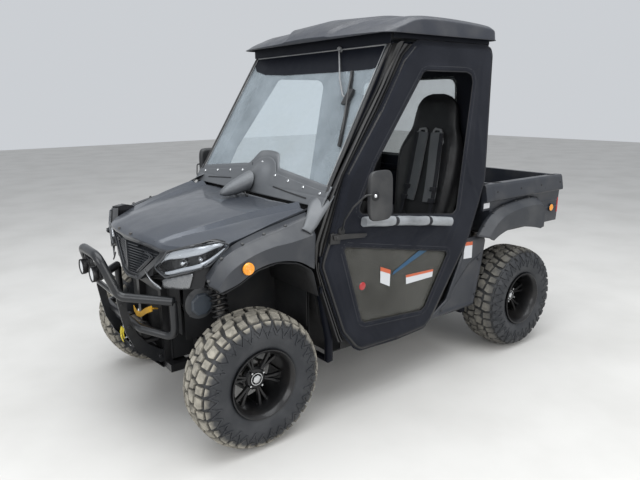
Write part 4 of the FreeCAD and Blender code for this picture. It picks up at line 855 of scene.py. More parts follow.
def door_trim(label, g):
    """Clear lower pane, stitching, rolled-up window with its straps, and latch."""
    body = "door_" + label
    lower = closed_line(lower_window, 16)
    upper = closed_line(upper_window, 26)
    bm = trimmed_grid([(x * 1.03 - 2.4, (z - 670.0) * 1.05 + 670.0) for x, z in lower], [], 24)
    for v in bm.verts:
        x, z = v.co.x, v.co.y
        wave = 1.6 * math.sin(x / 90.0 + z / 70.0) + 1.1 * math.sin(x / 41.0 - z / 60.0)
        v.co = Vector((x, 693.0 + wave, z))
    face_out(bm, "y")
    pane = piece("door_pane_" + label, bm, vinyl_clear, body, ("door_clear_" + label,), 60, wall=0.8,
                 side=g)
    bm = bmesh.new()
    stitches(bm, upper, 10, lambda x, z: door_plane(z) - 0.2)
    stitches(bm, upper, 23, lambda x, z: door_plane(z) + 0.8)
    stitches(bm, lower, 9, lambda x, z: door_plane(z) - 0.2)
    stitches(bm, lower, 22, lambda x, z: door_plane(z) + 0.8)
    thread = piece("door_stitching_" + label, bm, thread_grey, body, (), 60, side=g)
    roll(label, g, body)
    # lever latch near the front edge, with its button
    bm = bmesh.new()
    spots = [(524, 709, 972), (520, 709, 950), (330, 709, 936), (312, 709, 946), (316, 709, 956), (470, 709, 972)]
    slab(bm, spots, (0, 9, 0))
    bmesh.ops.recalc_face_normals(bm, faces=bm.faces)
    studs(bm, [(500, 716, 958)], (0, 1, 0), 11, 6, 16)
    slab(bm, [(534, 700, 980), (540, 700, 930), (480, 700, 925), (470, 700, 975)], (0, 9.5, 0))
    piece("door_latch_" + label, bm, cab_plastic, body, (), 35, bevel=1.5, side=g)
    return pane, thread


def roll(label, g, body):
    """Clear window sheet rolled up along its sill and held by two straps."""
    start, end = Vector((342, 725, 1018)), Vector((-298, 725, 936))
    axis = (end - start).normalized()
    side = Vector((0, 1, 0))
    up = axis.cross(side).normalized()
    bm = bmesh.new()
    turns, rings = 34, 52

    def place(u, v):
        angle = 2.0 * math.pi * u
        pinch = 1.0 - 0.13 * math.exp(-((v - 0.33) / 0.018) ** 2) - 0.13 * math.exp(-((v - 0.72) / 0.018) ** 2)
        wave = 1.0 + 0.035 * math.sin(3.0 * angle + 17.0 * v) + 0.03 * math.sin(31.0 * v + angle)
        r = 25.0 * pinch * wave
        spine = start.lerp(end, v) + up * (-5.0 * math.sin(math.pi * v))
        return spine + side * math.cos(angle) * r + up * math.sin(angle) * r
    surface(bm, turns, rings, place)
    bmesh.ops.remove_doubles(bm, verts=bm.verts, dist=0.05)
    for v in drawn_rim(bm):
        spine = start if (v.co - start).length < 60.0 else end
        v.co = spine + (v.co - spine) * 0.2
    bmesh.ops.holes_fill(bm, edges=[e for e in bm.edges if e.is_boundary])
    item = piece("window_sheet_roll_" + label, bm, vinyl_rolled, body, ("window_roll_" + label,), 50,
                 side=g)
    bm = bmesh.new()
    for share in (0.33, 0.72):
        spot = start.lerp(end, share) + up * (-5.0 * math.sin(math.pi * share))
        profile = [(22.5, -11), (24, -11), (24, 11), (22.5, 11)]
        lathe(bm, profile + profile[:1], spot, axis, 32)
    tail = start.lerp(end, 0.33)
    tube(bm, [tail + Vector((0, -20, 22)), tail + Vector((0, -18, 60)), tail + Vector((0, -19, 84))], 3, 10, 1)
    piece("roll_straps_" + label, bm, binding_tape, body, side=g)


def skin(bm, loops):
    """Closed form bridged over rings of points that have one count."""
    rings = []
    for loop in loops:
        verts = [bm.verts.new(p) for p in loop]
        edges = [bm.edges.new((a, b)) for a, b in zip(verts, verts[1:] + verts[:1])]
        rings.append((verts, edges))
    for (_, first), (_, second) in zip(rings, rings[1:]):
        bmesh.ops.bridge_loops(bm, edges=first + second)
    for verts, _ in (rings[0], rings[-1]):
        bm.faces.new(verts)


def oval(centre, wide, tall, count=16, power=2.6, tilt=None):
    """Ring of points of a rounded rectangle in the Y-Z plane, or turned by a matrix."""
    loop = []
    for i in range(count):
        a = 2.0 * math.pi * (i + 0.5) / count
        c, s = math.cos(a), math.sin(a)
        p = Vector((0, math.copysign(abs(c) ** (2.0 / power), c) * wide / 2.0,
                    math.copysign(abs(s) ** (2.0 / power), s) * tall / 2.0))
        loop.append(Vector(centre) + (tilt @ p if tilt else p))
    return loop


def mirror_head(label, g):
    """Wing mirror: rounded shell, a stud at the door, a black disc on the shell and a bent stalk with a ball."""
    body = "door_" + label
    bm = bmesh.new()
    rings = []
    for y, wide, tall in ((843, 96, 178), (845, 118, 206), (851, 134, 226), (862, 142, 236),
                          (871, 144, 238), (878, 140, 234), (880, 130, 224)):
        rings.append([(368.0 + p.y, y, 1168.0 + p.z) for p in oval((0, 0, 0), wide, tall, 20, 5)])
    skin(bm, rings)
    piece("mirror_shell_" + label, bm, trim_plastic, body, ("mirror_" + label,), 50, levels=1, side=g)
    bm = bmesh.new()
    studs(bm, [(470, 706, 985)], (0, 1, 0), 20, 10, 20)
    lathe(bm, [(0, 2.5), (21, 2.5), (23, 1), (23, -6), (0, -6)], (409, 879.5, 1172), "Y", 28)
    piece("mirror_foot_" + label, bm, deep_black_and_painted_shade, body, side=g)
    bm = bmesh.new()
    tube(bm, [(470, 712, 988), (492, 760, 1052), (488, 815, 1120), (458, 868, 1178), (432, 879, 1180),
              (410, 878, 1173)], 4.4, 50)
    piece("mirror_stalk_" + label, bm, bar_black, body, side=g)
    bm = bmesh.new()
    bmesh.ops.create_uvsphere(bm, u_segments=24, v_segments=14, radius=10.0,
                              matrix=Matrix.Translation((409, 877, 1172)))
    piece("mirror_ball_" + label, bm, chrome_ball, body, side=g)


for label, g in sides:
    cloth, frame_tube, binding, cut = door_cloth(label, g)
    pane, thread = door_trim(label, g)
    mirror_head(label, g)


# Hood, fenders and front

def flat_lines(lines, x):
    """Row of (y, z) knots at a place along X, smooth from station to station."""
    for i in range(len(lines) - 1):
        if lines[i][0] >= x >= lines[i + 1][0]:
            share = (i + (lines[i][0] - x) / (lines[i][0] - lines[i + 1][0])) / (len(lines) - 1)
            break
    else:
        share = 0.0 if x > lines[0][0] else 1.0
    return [through([row[1][k] for row in lines], share) for k in range(len(lines[0][1]))]


def along_line(points, value):
    """Second coordinate of an open line at a value of the first."""
    for (a0, b0), (a1, b1) in zip(points, points[1:]):
        if min(a0, a1) <= value <= max(a0, a1) and a0 != a1:
            return mix(b0, b1, (value - a0) / (a1 - a0))
    ends = sorted(points)
    return ends[0][1] if value < ends[0][0] else ends[-1][1]


hood_lines = [
    (1290, [(0, 978), (150, 975), (262, 965), (290, 962), (330, 950), (640, 905)]),
    (1160, [(0, 1022), (180, 1018), (290, 1003), (318, 998), (338, 987), (640, 940)]),
    (1000, [(0, 1052), (200, 1047), (352, 1035), (380, 1040), (397, 1018), (640, 990)]),
    (800, [(0, 1076), (220, 1070), (410, 1066), (442, 1084), (460, 1055), (650, 1058)]),
    (574, [(0, 1094), (240, 1087), (486, 1094), (528, 1122), (547, 1092), (670, 1124)]),
]
hood_front = [(0, 1283), (120, 1279), (200, 1270), (300, 1248), (376, 1222), (440, 1180), (500, 1125), (560, 1064),
              (596, 1022), (700, 1022)]
hood_side = [(1022, 594), (900, 610), (760, 624), (650, 633), (560, 633)]
hood_back = [(0, 577), (400, 577), (545, 590), (612, 604), (700, 606)]


def hood_shell():
    columns = []
    for first, cells in enumerate((8, 8, 3, 3, 10)):
        columns += [(first, k / cells) for k in range(cells)]
    columns.append((4, 1))
    count = len(columns) - 1
    rows = 46

    def place(u, v):
        first, t = columns[round(u * count)]
        x = mix(700, 1000, v)
        for _ in range(6):
            row = flat_lines(hood_lines, x)
            knots = [tuple(p) for p in row]
            edge = along_line(hood_side, x)
            share = (edge - knots[4][0]) / (knots[5][0] - knots[4][0])
            knots[5] = (edge, mix(knots[4][1], knots[5][1], share))
            y = mix(knots[first][0], knots[first + 1][0], t)
            x = mix(along_line(hood_back, y), along_line(hood_front, y), v)
        z = mix(knots[first][1], knots[first + 1][1], t)
        if first == 4:
            z -= 9.0 * math.sin(math.pi * t) * ease(1.0 - v, 0.05, 0.5)
        if first in (0, 1):
            z += 3.0 * math.sin(math.pi * (first + t) / 2.0)
        z -= 12.0 * ease(v, 0.965, 1) ** 2
        return Vector((x, y, z))
    bm = bmesh.new()
    surface(bm, count, rows, place)
    both_sides(bm, 0.01)
    bmesh.ops.remove_doubles(bm, verts=bm.verts, dist=0.3)
    face_out(bm, "z")
    bmesh.ops.translate(bm, vec=(0, 0, -13), verts=drawn_rim(bm))
    piece("hood_shell", bm, hood_paint, "hood", ("hood",), 24, wall=3.0)
    bm = bmesh.new()
    tube(bm, [(1272, -90, 972), (1272, 90, 972)], 5)
    for g in (1, -1):
        block(bm, (1266, g * 76, 972), (1278, g * 88, 985))
    piece("hood_hinge_pin", bm, steel_dark, "hood")


def hood_level(x, y):
    """Height of the hood's skin."""
    row = flat_lines(hood_lines, x)
    return along_line([tuple(p) for p in row], abs(y))


def scoop():
    """Snorkel pod: rounded nose forward, open mouth to the screen, standing on two small legs."""
    bm = bmesh.new()
    nose = Vector((742, 0, hood_level(742, 0) + 33.0))
    tail = Vector((566, 0, 1166))
    axis = (tail - nose).normalized()
    tilt = Matrix.Rotation(-math.atan2(axis.z, -axis.x), 3, "Y")
    rings = []
    for share, wide, tall in ((0, 5, 5), (0.015, 18, 18), (0.06, 38, 36), (0.18, 62, 60), (0.4, 86, 86),
                              (0.66, 104, 104), (0.9, 115, 115), (1, 117, 117),
                              # inner wall of the mouth
                              (1, 109, 111), (0.85, 103, 105), (0.5, 60, 60)):
        rings.append(oval(nose.lerp(tail, share), wide, tall, 28, 2, tilt))
    skin(bm, rings)
    for v in bm.verts:
        if 540.0 < v.co.x < 770.0:
            # the pod's belly rests on the hood
            v.co.z = max(v.co.z, hood_level(v.co.x, v.co.y) + 1.5)
    piece("snorkel_pod", bm, cowl_grey, "hood", ("intake_scoop",), 40)
    bm = bmesh.new()
    knee = hood_level(610, 62)
    for g, foot in ((1, hood_level(610, 76)), (-1, knee)):
        tube(bm, [(610, g * 30, 1122), (614, g * 62, knee + 6), (616, g * 76, foot + 3)], 5.5, 10, 2)
    piece("snorkel_legs", bm, frame_black, "hood")


fender_sections = [
    # inner edge, bolt line, foot of the bolt line, lip, arch edge, inner turn of the flare: (x, y, z)
    [(1146, 612, 866), (1162, 668, 850), (1162, 676, 843), (1150, 730, 836), (1139, 737, 822), (1131, 712, 819)],
    [(1088, 616, 932), (1093, 672, 944), (1094, 679, 937), (1086, 731, 902), (1052, 738, 846), (1049, 714, 848)],
    [(1012, 620, 986), (989, 674, 992), (990, 681, 985), (987, 732, 950), (958, 738, 892), (957, 714, 895)],
    [(900, 624, 1024), (879, 676, 1021), (880, 683, 1013), (877, 733, 976), (850, 738, 906), (850, 714, 909)],
    [(760, 636, 1061), (773, 676, 1040), (772, 683, 1032), (770, 733, 983), (742, 738, 887), (744, 714, 891)],
    [(636, 644, 1090), (638, 676, 1070), (639, 683, 1062), (643, 733, 1000), (655, 738, 838), (657, 714, 838)],
]


def fender(label, g):
    """Front flare with its bolts and the black liner under it."""
    lines = []
    stations = 48
    for i in range(stations + 1):
        row = [through([s[k] for s in fender_sections], i / stations) for k in range(6)]
        lines.append(rounded(row[:4], 6) + rounded(row[3:], 4)[1:])
    bm = bmesh.new()
    net(bm, lines)
    face_out(bm, "z")
    piece("front_flare_" + label, bm, flare_plastic, "chassis", ("front_fenders",), 32, wall=3.5,
          side=g)
    # the liner lies under the flare and behind the wheel
    arch = rounded([(1128, 812), (1048, 838), (956, 884), (850, 900), (740, 878), (664, 830), (634, 700)], 60)
    bm = bmesh.new()
    net(bm, [[Vector((p.x, mix(318, 735, k / 6), p.y)) for p in arch] for k in range(7)])
    bmesh.ops.recalc_face_normals(bm, faces=bm.faces)
    piece("wheel_liner_front_" + label, bm, deep_black_and_painted_shade, "chassis", wall=2.5, side=g)
    bm = bmesh.new()
    for x, z in ((1158, 858), (1093, 947), (989, 995), (879, 1023), (765, 1044)):
        studs(bm, [(x, 666, z + 1.0)], (0.25, 0.35, 0.9), 8, 5, 10)
    piece("flare_bolts_" + label, bm, trim_plastic, "chassis", side=g)


def screen_place(y, along, out):
    """Point on the windscreen's plane, in millimetres, as part of the glass's own frame."""
    run_x, run_z = -422.0, 696.0
    size = math.hypot(run_x, run_z)
    return Vector((512.0 + run_x / size * along + run_z / size * out, y,
                   1171.0 + run_z / size * along - run_x / size * out))


screen_normal = screen_place(0, 0, 1) - screen_place(0, 0, 0)


def on_screen(bm, outline, out, thick):
    slab(bm, [screen_place(y, along, out) for y, along in outline], screen_normal * thick)


def cowl():
    """Silver flange across the foot of the glass: trim strip, proud front flange, arch, boss and side tabs."""
    def top_line(y):
        r = abs(y - 25.0) / 150.0
        hill = 178.0 - 26.0 * r * r if r < 0.55 else mix(170, 84, ease(r, 0.55, 1.12))
        flat = mix(84, 30, min(1, max(0, (abs(y - 10.0) - 175.0) / 460.0)))
        return hill if r < 1.12 else flat

    def arch_line(y):
        r = abs(y - 40.0) / 128.0
        return max(top_line(y) - 34.0, 0) if r > 1.0 else 46.0 + 92.0 * math.sqrt(1.0 - r * r)
    bm = bmesh.new()
    columns = [mix(-679, 679, i / 96.0) for i in range(97)]
    surface(bm, 96, 5, lambda u, v: screen_place(columns[round(u * 96)], mix(
        -20, top_line(columns[round(u * 96)]), v), 8.4))
    face_out(bm, "x")
    piece("cowl_strip", bm, cowl_grey, "chassis", ("cowl_panel",), 28, wall=3.0)
    bm = bmesh.new()
    rows = 22

    def place(u, v):
        y = columns[round(u * 96)]
        along = mix(-84, arch_line(y), v)
        out = 13.0
        # boss that swells towards the pod's mouth inside the arch
        r = math.hypot((y - 34.0) / 118.0, (along - 12.0) / 108.0)
        out += 24.0 * (1.0 - ease(r, 0.25, 1))
        # pressed line along the flange
        out -= 1.6 * math.exp(-((along + 30.0) / 4.0) ** 2) * (abs(y - 34.0) > 130.0)
        return screen_place(y, along, out)
    surface(bm, 96, rows, place)
    face_out(bm, "x")
    piece("cowl_flange", bm, cowl_grey, "chassis", (), 28, wall=3.5)
    bm = bmesh.new()
    inner = [(526, 585, 1152), (582, 604, 1132), (640, 662, 1088), (684, 700, 1044), (705, 710, 1034)]
    outer = [(500, 692, 1160), (538, 698, 1116), (580, 708, 1074), (628, 722, 1032), (668, 732, 1008)]
    surface(bm, 4, 16, lambda u, v: through(inner, v).lerp(through(outer, v), u) + Vector((0, 0, 1.5 * math.sin(
        math.pi * u))))
    face_out(bm, "z")
    add_twin(bm)
    piece("cowl_tabs", bm, cowl_grey, "chassis", wall=3.0)
    bm = bmesh.new()
    spots = [(-595, -13), (-444, 6), (-297, 21), (-160, 34), (190, 34), (325, 17), (472, -1), (620, -17)]
    studs(bm, [screen_place(y, along, 13) for y, along in spots], screen_normal, 8, 5, 12)
    studs(bm, [screen_place(12, 100, 15)], screen_normal, 8, 6, 12)
    piece("cowl_bolts", bm, bright_steel, "chassis")
    # thin black strips along the flange's pressed line: painted shade inside its slots
    bm = bmesh.new()
    on_screen(bm, [(-520, -52), (-249, -28), (-249, -22), (-520, -44)], 13.6, 0.8)
    on_screen(bm, [(214, -32), (350, -44), (534, -58), (534, -50), (350, -37), (214, -24)], 13.6, 0.8)
    piece("cowl_slot_shade", bm, deep_black_and_painted_shade, "chassis")


lamp_plan = [(1262, 262), (1226, 398), (1166, 556), (1140, 598), (1004, 616)]


def lamp_spot(s, z, depth):
    """Place on the headlamp's upright face, s along it from its front corner, depth behind it."""
    path = rounded(lamp_plan, 60)
    walked = 0.0
    for a, b in zip(path, path[1:]):
        run = (b - a).length
        if s <= walked + run or b is path[-1]:
            t = (s - walked) / run
            spot = a.lerp(b, t)
            unit = (b - a).normalized()
            return Vector((spot.x - abs(unit.y) * depth, spot.y - abs(unit.x) * depth, z))
        walked += run


lamp_outline = [(36, 855), (96, 896), (148, 950), (290, 990), (418, 1008), (481, 988), (383, 909), (265, 869),
                (118, 822)]
chin_outline = [(84, 799), (88, 766), (210, 782), (262, 792), (292, 868), (265, 861), (116, 814)]
chin_back = [(80, 799), (84, 760), (210, 776), (340, 803), (386, 898), (390, 906), (265, 868), (112, 820)]


def lamp_sheet(bm, outline, depth, cell=9.0):
    flat = trimmed_grid(outline, [], cell)
    for v in flat.verts:
        v.co = lamp_spot(v.co.x, v.co.y, depth)
    absorb(bm, flat)
    face_out(bm, "x")


def lamp_strip(bm, path, depth, thick):
    """Moulded light strip along (s, z, half width) points."""
    run = [(Vector((s, z)), w) for s, z, w in path]
    rings = []
    for i, (p, w) in enumerate(run):
        a = run[max(0, i - 1)][0]
        b = run[min(len(run) - 1, i + 1)][0]
        n = Vector((-(b - a).y, (b - a).x)).normalized()
        ring = []
        for across, lift in ((-1, 0), (-0.75, 0.8), (0, 1), (0.75, 0.8), (1, 0)):
            q = p + n * w * across
            ring.append(lamp_spot(q.x, q.y, depth - thick * lift))
        ring.append(lamp_spot(p.x, p.y, depth + 3.0))
        rings.append(ring)
    skin(bm, rings)


def headlamp(label, g):
    """Clear cover over a black bowl, light strips, projectors and the silver chin below."""
    outline = closed_line(lamp_outline, 14)
    bm = bmesh.new()
    lamp_sheet(bm, outline, 2)
    piece("headlamp_cover_" + label, bm, lens_clear, "chassis", ("front_lenses",), 50, wall=2.0, side=g)
    bm = bmesh.new()
    back = [((s - 250) * 1.02 + 250, (z - 905) * 1.04 + 905) for s, z in outline]
    lamp_sheet(bm, back, 44, 14)
    bmesh.ops.translate(bm, vec=(30, 24, 0), verts=drawn_rim(bm))
    piece("headlamp_bowl_" + label, bm, lamp_gloss, "chassis", ("front_lamp_housings",), 40,
          wall=2.0, side=g)
    bm = bmesh.new()
    lamp_strip(bm, [(70, 876, 5), (110, 910, 12), (150, 926, 21), (210, 941, 25), (290, 963, 25), (360, 976, 20),
                    (418, 990, 12), (455, 989, 6)], 16, 9)
    lamp_strip(bm, [(462, 976, 5), (420, 944, 9), (383, 924, 11), (330, 901, 12), (265, 883, 12), (190, 860, 12),
                    (128, 838, 11), (100, 838, 8)], 16, 9)
    piece("headlamp_strips_" + label, bm, lamp_silver, "chassis", (), 50, levels=1, side=g)
    bm = bmesh.new()
    spot = lamp_spot(212, 896, 34)
    lathe(bm, [(0, 20), (7, 18), (12, 12), (15, 0), (17, 0), (17, -12), (0, -12)], spot,
          (0.93, 0.36, 0), 28)
    spot = lamp_spot(322, 926, 34)
    lathe(bm, [(0, 12), (6, 10), (10, 4), (12, 4), (12, -12), (0, -12)], spot,
          (0.93, 0.36, 0), 28)
    piece("headlamp_projectors_" + label, bm, bright_steel, "chassis", side=g)
    bm = bmesh.new()
    lamp_sheet(bm, closed_line(chin_outline, 8), 6, 12)
    piece("headlamp_chin_" + label, bm, chin_silver, "chassis", (), 50, wall=4.0, side=g)
    bm = bmesh.new()
    lamp_sheet(bm, closed_line(chin_back, 8), 12, 12)
    piece("headlamp_apron_" + label, bm, deep_black_and_painted_shade, "chassis", (), 50, open_sheet=True, side=g)
    bm = bmesh.new()
    rim = [lamp_spot(s, z, 1) for s, z in outline]
    rim = [p for p, q in zip(rim, rim[1:] + rim[:1]) if (p - q).length > 1.0]
    tube(bm, rim + rim[:1], 4.5, 2, 1)
    piece("headlamp_rim_" + label, bm, grille_black, "chassis", (), 50, side=g)
    bm = bmesh.new()
    rings = []
    for x, y, z, w in ((1262, 206, 832, 4), (1260, 228, 808, 9), (1256, 266, 780, 12), (1244, 312, 764, 11),
                       (1236, 338, 760, 6)):
        rings.append([(x, y - w * 0.8, z + w), (x + 6, y, z + w * 0.4), (x + 6, y + w * 0.6, z - w * 0.6),
                      (x, y + w * 0.8, z - w), (x - 4, y, z)])
    skin(bm, rings)
    piece("lamp_blade_" + label, bm, chin_silver, "chassis", (), 50, levels=1, side=g)


hood_shell()
scoop()
cowl()
for label, g in sides:
    fender(label, g)
    headlamp(label, g)


# Roof and windscreen

roof_lines = [
    # (place along X, [(share of the half width, height above the low edge)])
    (173, [(0, 24), (0.274, 20), (0.335, 14), (0.75, 9), (0.924, 6), (0.984, 3)]),
    (118, [(0, 67), (0.296, 63), (0.355, 48), (0.779, 40), (0.929, 32), (0.984, 20)]),
    (50, [(0, 104), (0.404, 96), (0.465, 78), (0.823, 68), (0.941, 58), (0.987, 40)]),
    (-30, [(0, 132), (0.505, 116), (0.566, 98), (0.851, 92), (0.947, 86), (0.988, 66)]),
    (-150, [(0, 147), (0.577, 126), (0.638, 108), (0.866, 102), (0.947, 95), (0.988, 76)]),
    (-400, [(0, 147), (0.62, 122), (0.678, 106), (0.866, 100), (0.947, 92), (0.988, 72)]),
    (-640, [(0, 121), (0.62, 100), (0.678, 89), (0.866, 85), (0.944, 76), (0.987, 56)]),
    (-690, [(0, 80), (0.62, 66), (0.678, 58), (0.866, 53), (0.938, 44), (0.981, 30)]),
]
roof_half, roof_low = 692.0, 1914.0


def roof():
    """Moulded roof: visor, raised middle with a swept edge, rounded sides and a thin lip."""
    rows = []
    stops = 60
    for i in range(stops + 1):
        share = i / stops
        x = through([Vector((r[0], 0)) for r in roof_lines], share).x
        knots = [through([Vector(r[1][k]) for r in roof_lines], share) for k in range(6)]
        line = [Vector((roof_half * k.x, roof_low + k.y)) for k in knots]
        line.append(Vector((roof_half - 5.0, roof_low + 5.0)))
        run = rounded(line, 16, steps=3)
        run += [Vector((roof_half, roof_low + 4.0)), Vector((roof_half, roof_low + 0.5))]
        tuck = 62.0 * (1.0 - math.sqrt(1.0 - min(1, max(0, (x - 78.0) / 95.0)) ** 2))
        tuck += 50.0 * (1.0 - math.sqrt(1.0 - min(1, max(0, (-640.0 - x) / 50.0)) ** 2))
        rows.append([Vector((x, p.x - tuck * (p.x / roof_half) ** 3, p.y)) for p in run])
    front = [Vector((p.x + 0.5, p.y, roof_low + 0.5)) for p in rows[0]]
    back = [Vector((p.x - 0.5, p.y, roof_low + 0.5)) for p in rows[-1]]
    rows = [front] + rows + [back]
    bm = bmesh.new()
    net(bm, rows)
    both_sides(bm, 0.01)
    bmesh.ops.remove_doubles(bm, verts=bm.verts, dist=0.3)
    face_out(bm, "z")
    piece("roof_shell", bm, roof_plastic, "chassis", ("roof_panel",), 30, wall=4.0)
    bm = bmesh.new()
    slab(bm, [(100, -640, 1868), (100, 640, 1868), (100, 640, 1930), (100, 280, 1950), (100, -280, 1950),
              (100, -640, 1930)], (6, 0, 0))
    for x in (20, -608):
        for g in (1, -1):
            block(bm, (x - 28, g * 420 - 28, 1881), (x + 28, g * 420 + 28, 1973))
    for g in (1, -1):
        # ribs that close the space over the doors
        slab(bm, [(92, g * 642, 1896), (-660, g * 642, 1896), (-660, g * 642, 1940), (60, g * 642, 1940)],
             (0, g * 3.0, 0))
    block(bm, (-664, -640, 1890), (-661, 640, 1935))
    piece("roof_frame", bm, flat_black_and_painted_shade, "chassis")


seal_line = [
    # back edge, front edge and height of the ridged seal ahead of each door
    (438, 482, 410), (459, 495, 446), (548, 580, 692), (592, 612, 810), (584, 619, 850), (547, 619, 938),
    (538, 611, 961), (463, 513, 1167), (432, 460, 1254), (258, 316, 1482), (206, 271, 1550), (129, 193, 1667),
    (33, 112, 1813), (-34, 84, 1868),
]
# share of the seal's width, and how far its skin lies behind the door's plane
seal_ridges = [(0, 40), (0.03, 15), (0.2, 9), (0.26, 20), (0.34, 20), (0.4, 8), (0.56, 8), (0.62, 20),
               (0.7, 20), (0.76, 9), (0.95, 12), (1, 40)]


def windscreen():
    """Band of painted roof shade across the top of the glass, rubber seals, wiper and the trim that covers each front
    post.
    """
    bm = bmesh.new()
    # dark band across the top of the glass: painted shade cast by the roof
    tint_and_painted_shade = rounded([(-622, 806), (-622, 770), (-560, 712), (-430, 682), (-200, 668), (250, 666), (500, 668),
                    (626, 672), (622, 806)], 60, True, 4)
    on_screen(bm, [(p.x, p.y) for p in tint_and_painted_shade], 5.6, 0.8)
    piece("screen_roof_shade_band", bm, flat_black_and_painted_shade, "chassis")
    bm = bmesh.new()
    for g in (1, -1):
        tube(bm, [screen_place(g * 640, 24, 8), screen_place(g * 606, 800, 8)], 3)
    tube(bm, [screen_place(-606, 806, 7), screen_place(606, 806, 7)], 4)
    piece("screen_seals", bm, seal_grey, "chassis")
    bm = bmesh.new()
    for g in (1, -1):
        inner = [(500, 1176), (82, 1866), (56, 1878), (40, 1878), (64, 1838), (236, 1566), (462, 1268), (556, 1016),
                 (576, 980), (600, 990)]
        slab(bm, [(x, g * 664.0, z) for x, z in inner], (0, g * 2.5, 0))
        for shift, y in ((8, 655), (30, 659), (52, 662)):
            foot = Vector((520.0 - shift, g * y, 1160.0 - 0.55 * shift))
            head = Vector((96.0 - shift, g * (y - 26.0), 1862.0 - 0.2 * shift))
            tube(bm, [foot, head], 6.5 if shift > 20 else 5.0)
        tube(bm, [screen_place(g * 659, -6, 5), screen_place(g * 624, 812, 5)], 9)
    for g in (1, -1):
        rings = []
        for back, front, z in seal_line:
            ring = []
            for share, drop in seal_ridges:
                ring.append(Vector((mix(back, front, share), g * (door_plane(z) - drop), z)))
            rings.append(ring)
        skin(bm, rings)
    piece("post_trim", bm, frame_black, "chassis")
    bm = bmesh.new()
    arm = [screen_place(258, 800, 25), screen_place(388, 607, 26), screen_place(474, 505, 23),
           screen_place(515, 505, 16)]
    tube(bm, arm, 4.5, 60)
    lathe(bm, [(0, 28), (9, 27), (12, 22), (12, 0), (0, 0)], screen_place(258, 800, 5.6),
          screen_normal, 20)
    piece("wiper_rod", bm, bezel_grey, "chassis")
    bm = bmesh.new()
    blade = [(445, 659), (480, 582), (516, 505), (545, 425), (576, 330), (608, 235)]
    for (y0, a0), (y1, a1) in zip(blade, blade[1:]):
        on_screen(bm, [(y0 - 8, a0), (y1 - 8, a1), (y1 + 8, a1), (y0 + 8, a0)], 9.5, 12)
    run = [(458, 630, 20), (487, 568, 27), (516, 505, 30), (545, 430, 27), (574, 345, 22), (592, 288, 18)]
    for (y0, a0, h0), (y1, a1, h1) in zip(run, run[1:]):
        tube(bm, [screen_place(y0, a0, h0 - 2), screen_place(y1, a1, h1 - 2)], 5.5)
    for y, a in ((470, 604), (553, 404), (598, 268)):
        on_screen(bm, [(y - 6, a - 8), (y + 6, a - 8), (y + 6, a + 8), (y - 6, a + 8)], 7, 9)
    on_screen(bm, [(490, 462), (530, 462), (538, 546), (498, 546)], 13, 16)
    on_screen(bm, [(y - 1.5, a) for y, a in blade] + [(y + 1.5, a) for y, a in reversed(blade)], 5.8, 5)
    piece("wiper_arm", bm, frame_black, "chassis", ("windscreen_wiper",), 40)


# Seats

def plump(bm, voxel=9.0, pressure=3.0, most=8.0):
    """Swells a closed form with cloth under pressure, by at most so much, and gives the swollen form back."""
    mesh = bpy.data.meshes.new("slack")
    bmesh.ops.scale(bm, vec=(MM, MM, MM), verts=bm.verts)
    bm.to_mesh(mesh)
    bm.free()
    item = bpy.data.objects.new("slack", mesh)
    bpy.context.collection.objects.link(item)
    grid = item.modifiers.new("grid", "REMESH")
    grid.mode = "VOXEL"
    grid.voxel_size = voxel * MM
    view = bpy.context.evaluated_depsgraph_get()
    fine = bpy.data.meshes.new_from_object(item.evaluated_get(view))
    item.modifiers.clear()
    item.data = fine
    bpy.data.meshes.remove(mesh)
    start = [v.co.copy() for v in fine.vertices]
    cloth = item.modifiers.new("cloth", "CLOTH")
    cloth.settings.use_pressure = True
    cloth.settings.uniform_pressure_force = pressure
    cloth.settings.quality = 4
    cloth.settings.effector_weights.gravity = 0.0
    cloth.collision_settings.use_collision = False
    for step in range(1, 21):
        bpy.context.scene.frame_set(step)
    view = bpy.context.evaluated_depsgraph_get()
    done = bpy.data.meshes.new_from_object(item.evaluated_get(view))
    for v, was, now in zip(fine.vertices, start, done.vertices):
        move = now.co - was
        if move.length > most * MM:
            move = move.normalized() * most * MM
        v.co = was + move
    bpy.data.meshes.remove(done)
    bpy.context.scene.frame_set(1)
    out = bmesh.new()
    out.from_mesh(fine)
    bpy.data.objects.remove(item)
    bpy.data.meshes.remove(fine)
    bmesh.ops.scale(out, vec=(1 / MM, 1 / MM, 1 / MM), verts=out.verts)
    return out


seat_mid = 352.0
back_line = [
    # height, half width, front of the padding, front of the side wings, back
    (800, 214, -388, -352, -534), (860, 222, -406, -372, -552), (950, 232, -430, -392, -566),
    (1060, 246, -462, -412, -582), (1180, 256, -488, -432, -592), (1290, 252, -506, -456, -596),
    (1370, 224, -522, -494, -604), (1430, 196, -530, -520, -608), (1500, 182, -538, -534, -608),
    (1570, 164, -548, -548, -606), (1616, 124, -558, -558, -602), (1638, 66, -568, -568, -594),
]


base_line = [
    # place along the cushion, its foot, top, top of the side wings, half width
    (-330, 668, 742, 756, 196), (-318, 656, 752, 768, 212), (-260, 652, 748, 776, 224),
    (-180, 652, 746, 778, 226), (-110, 652, 752, 776, 224), (-66, 656, 756, 768, 218),
    (-44, 668, 748, 752, 206), (-38, 690, 728, 728, 180),
]


def pad_ring(half, face, wing, back, power, edge, count=36):
    """Section through a cushion: (y, depth) places, its face carried out to the side wings."""
    ring = []
    for i in range(count):
        turn = 2.0 * math.pi * i / count
        c, s = math.cos(turn), math.sin(turn)
        side = math.copysign(abs(s) ** power, s)
        depth = math.copysign(abs(c) ** 0.5, c)
        reach = ease(abs(side), 0.55, edge)
        ring.append((seat_mid + half * side, mix(back, mix(face, wing, reach), 0.5 + 0.5 * depth)))
    return ring


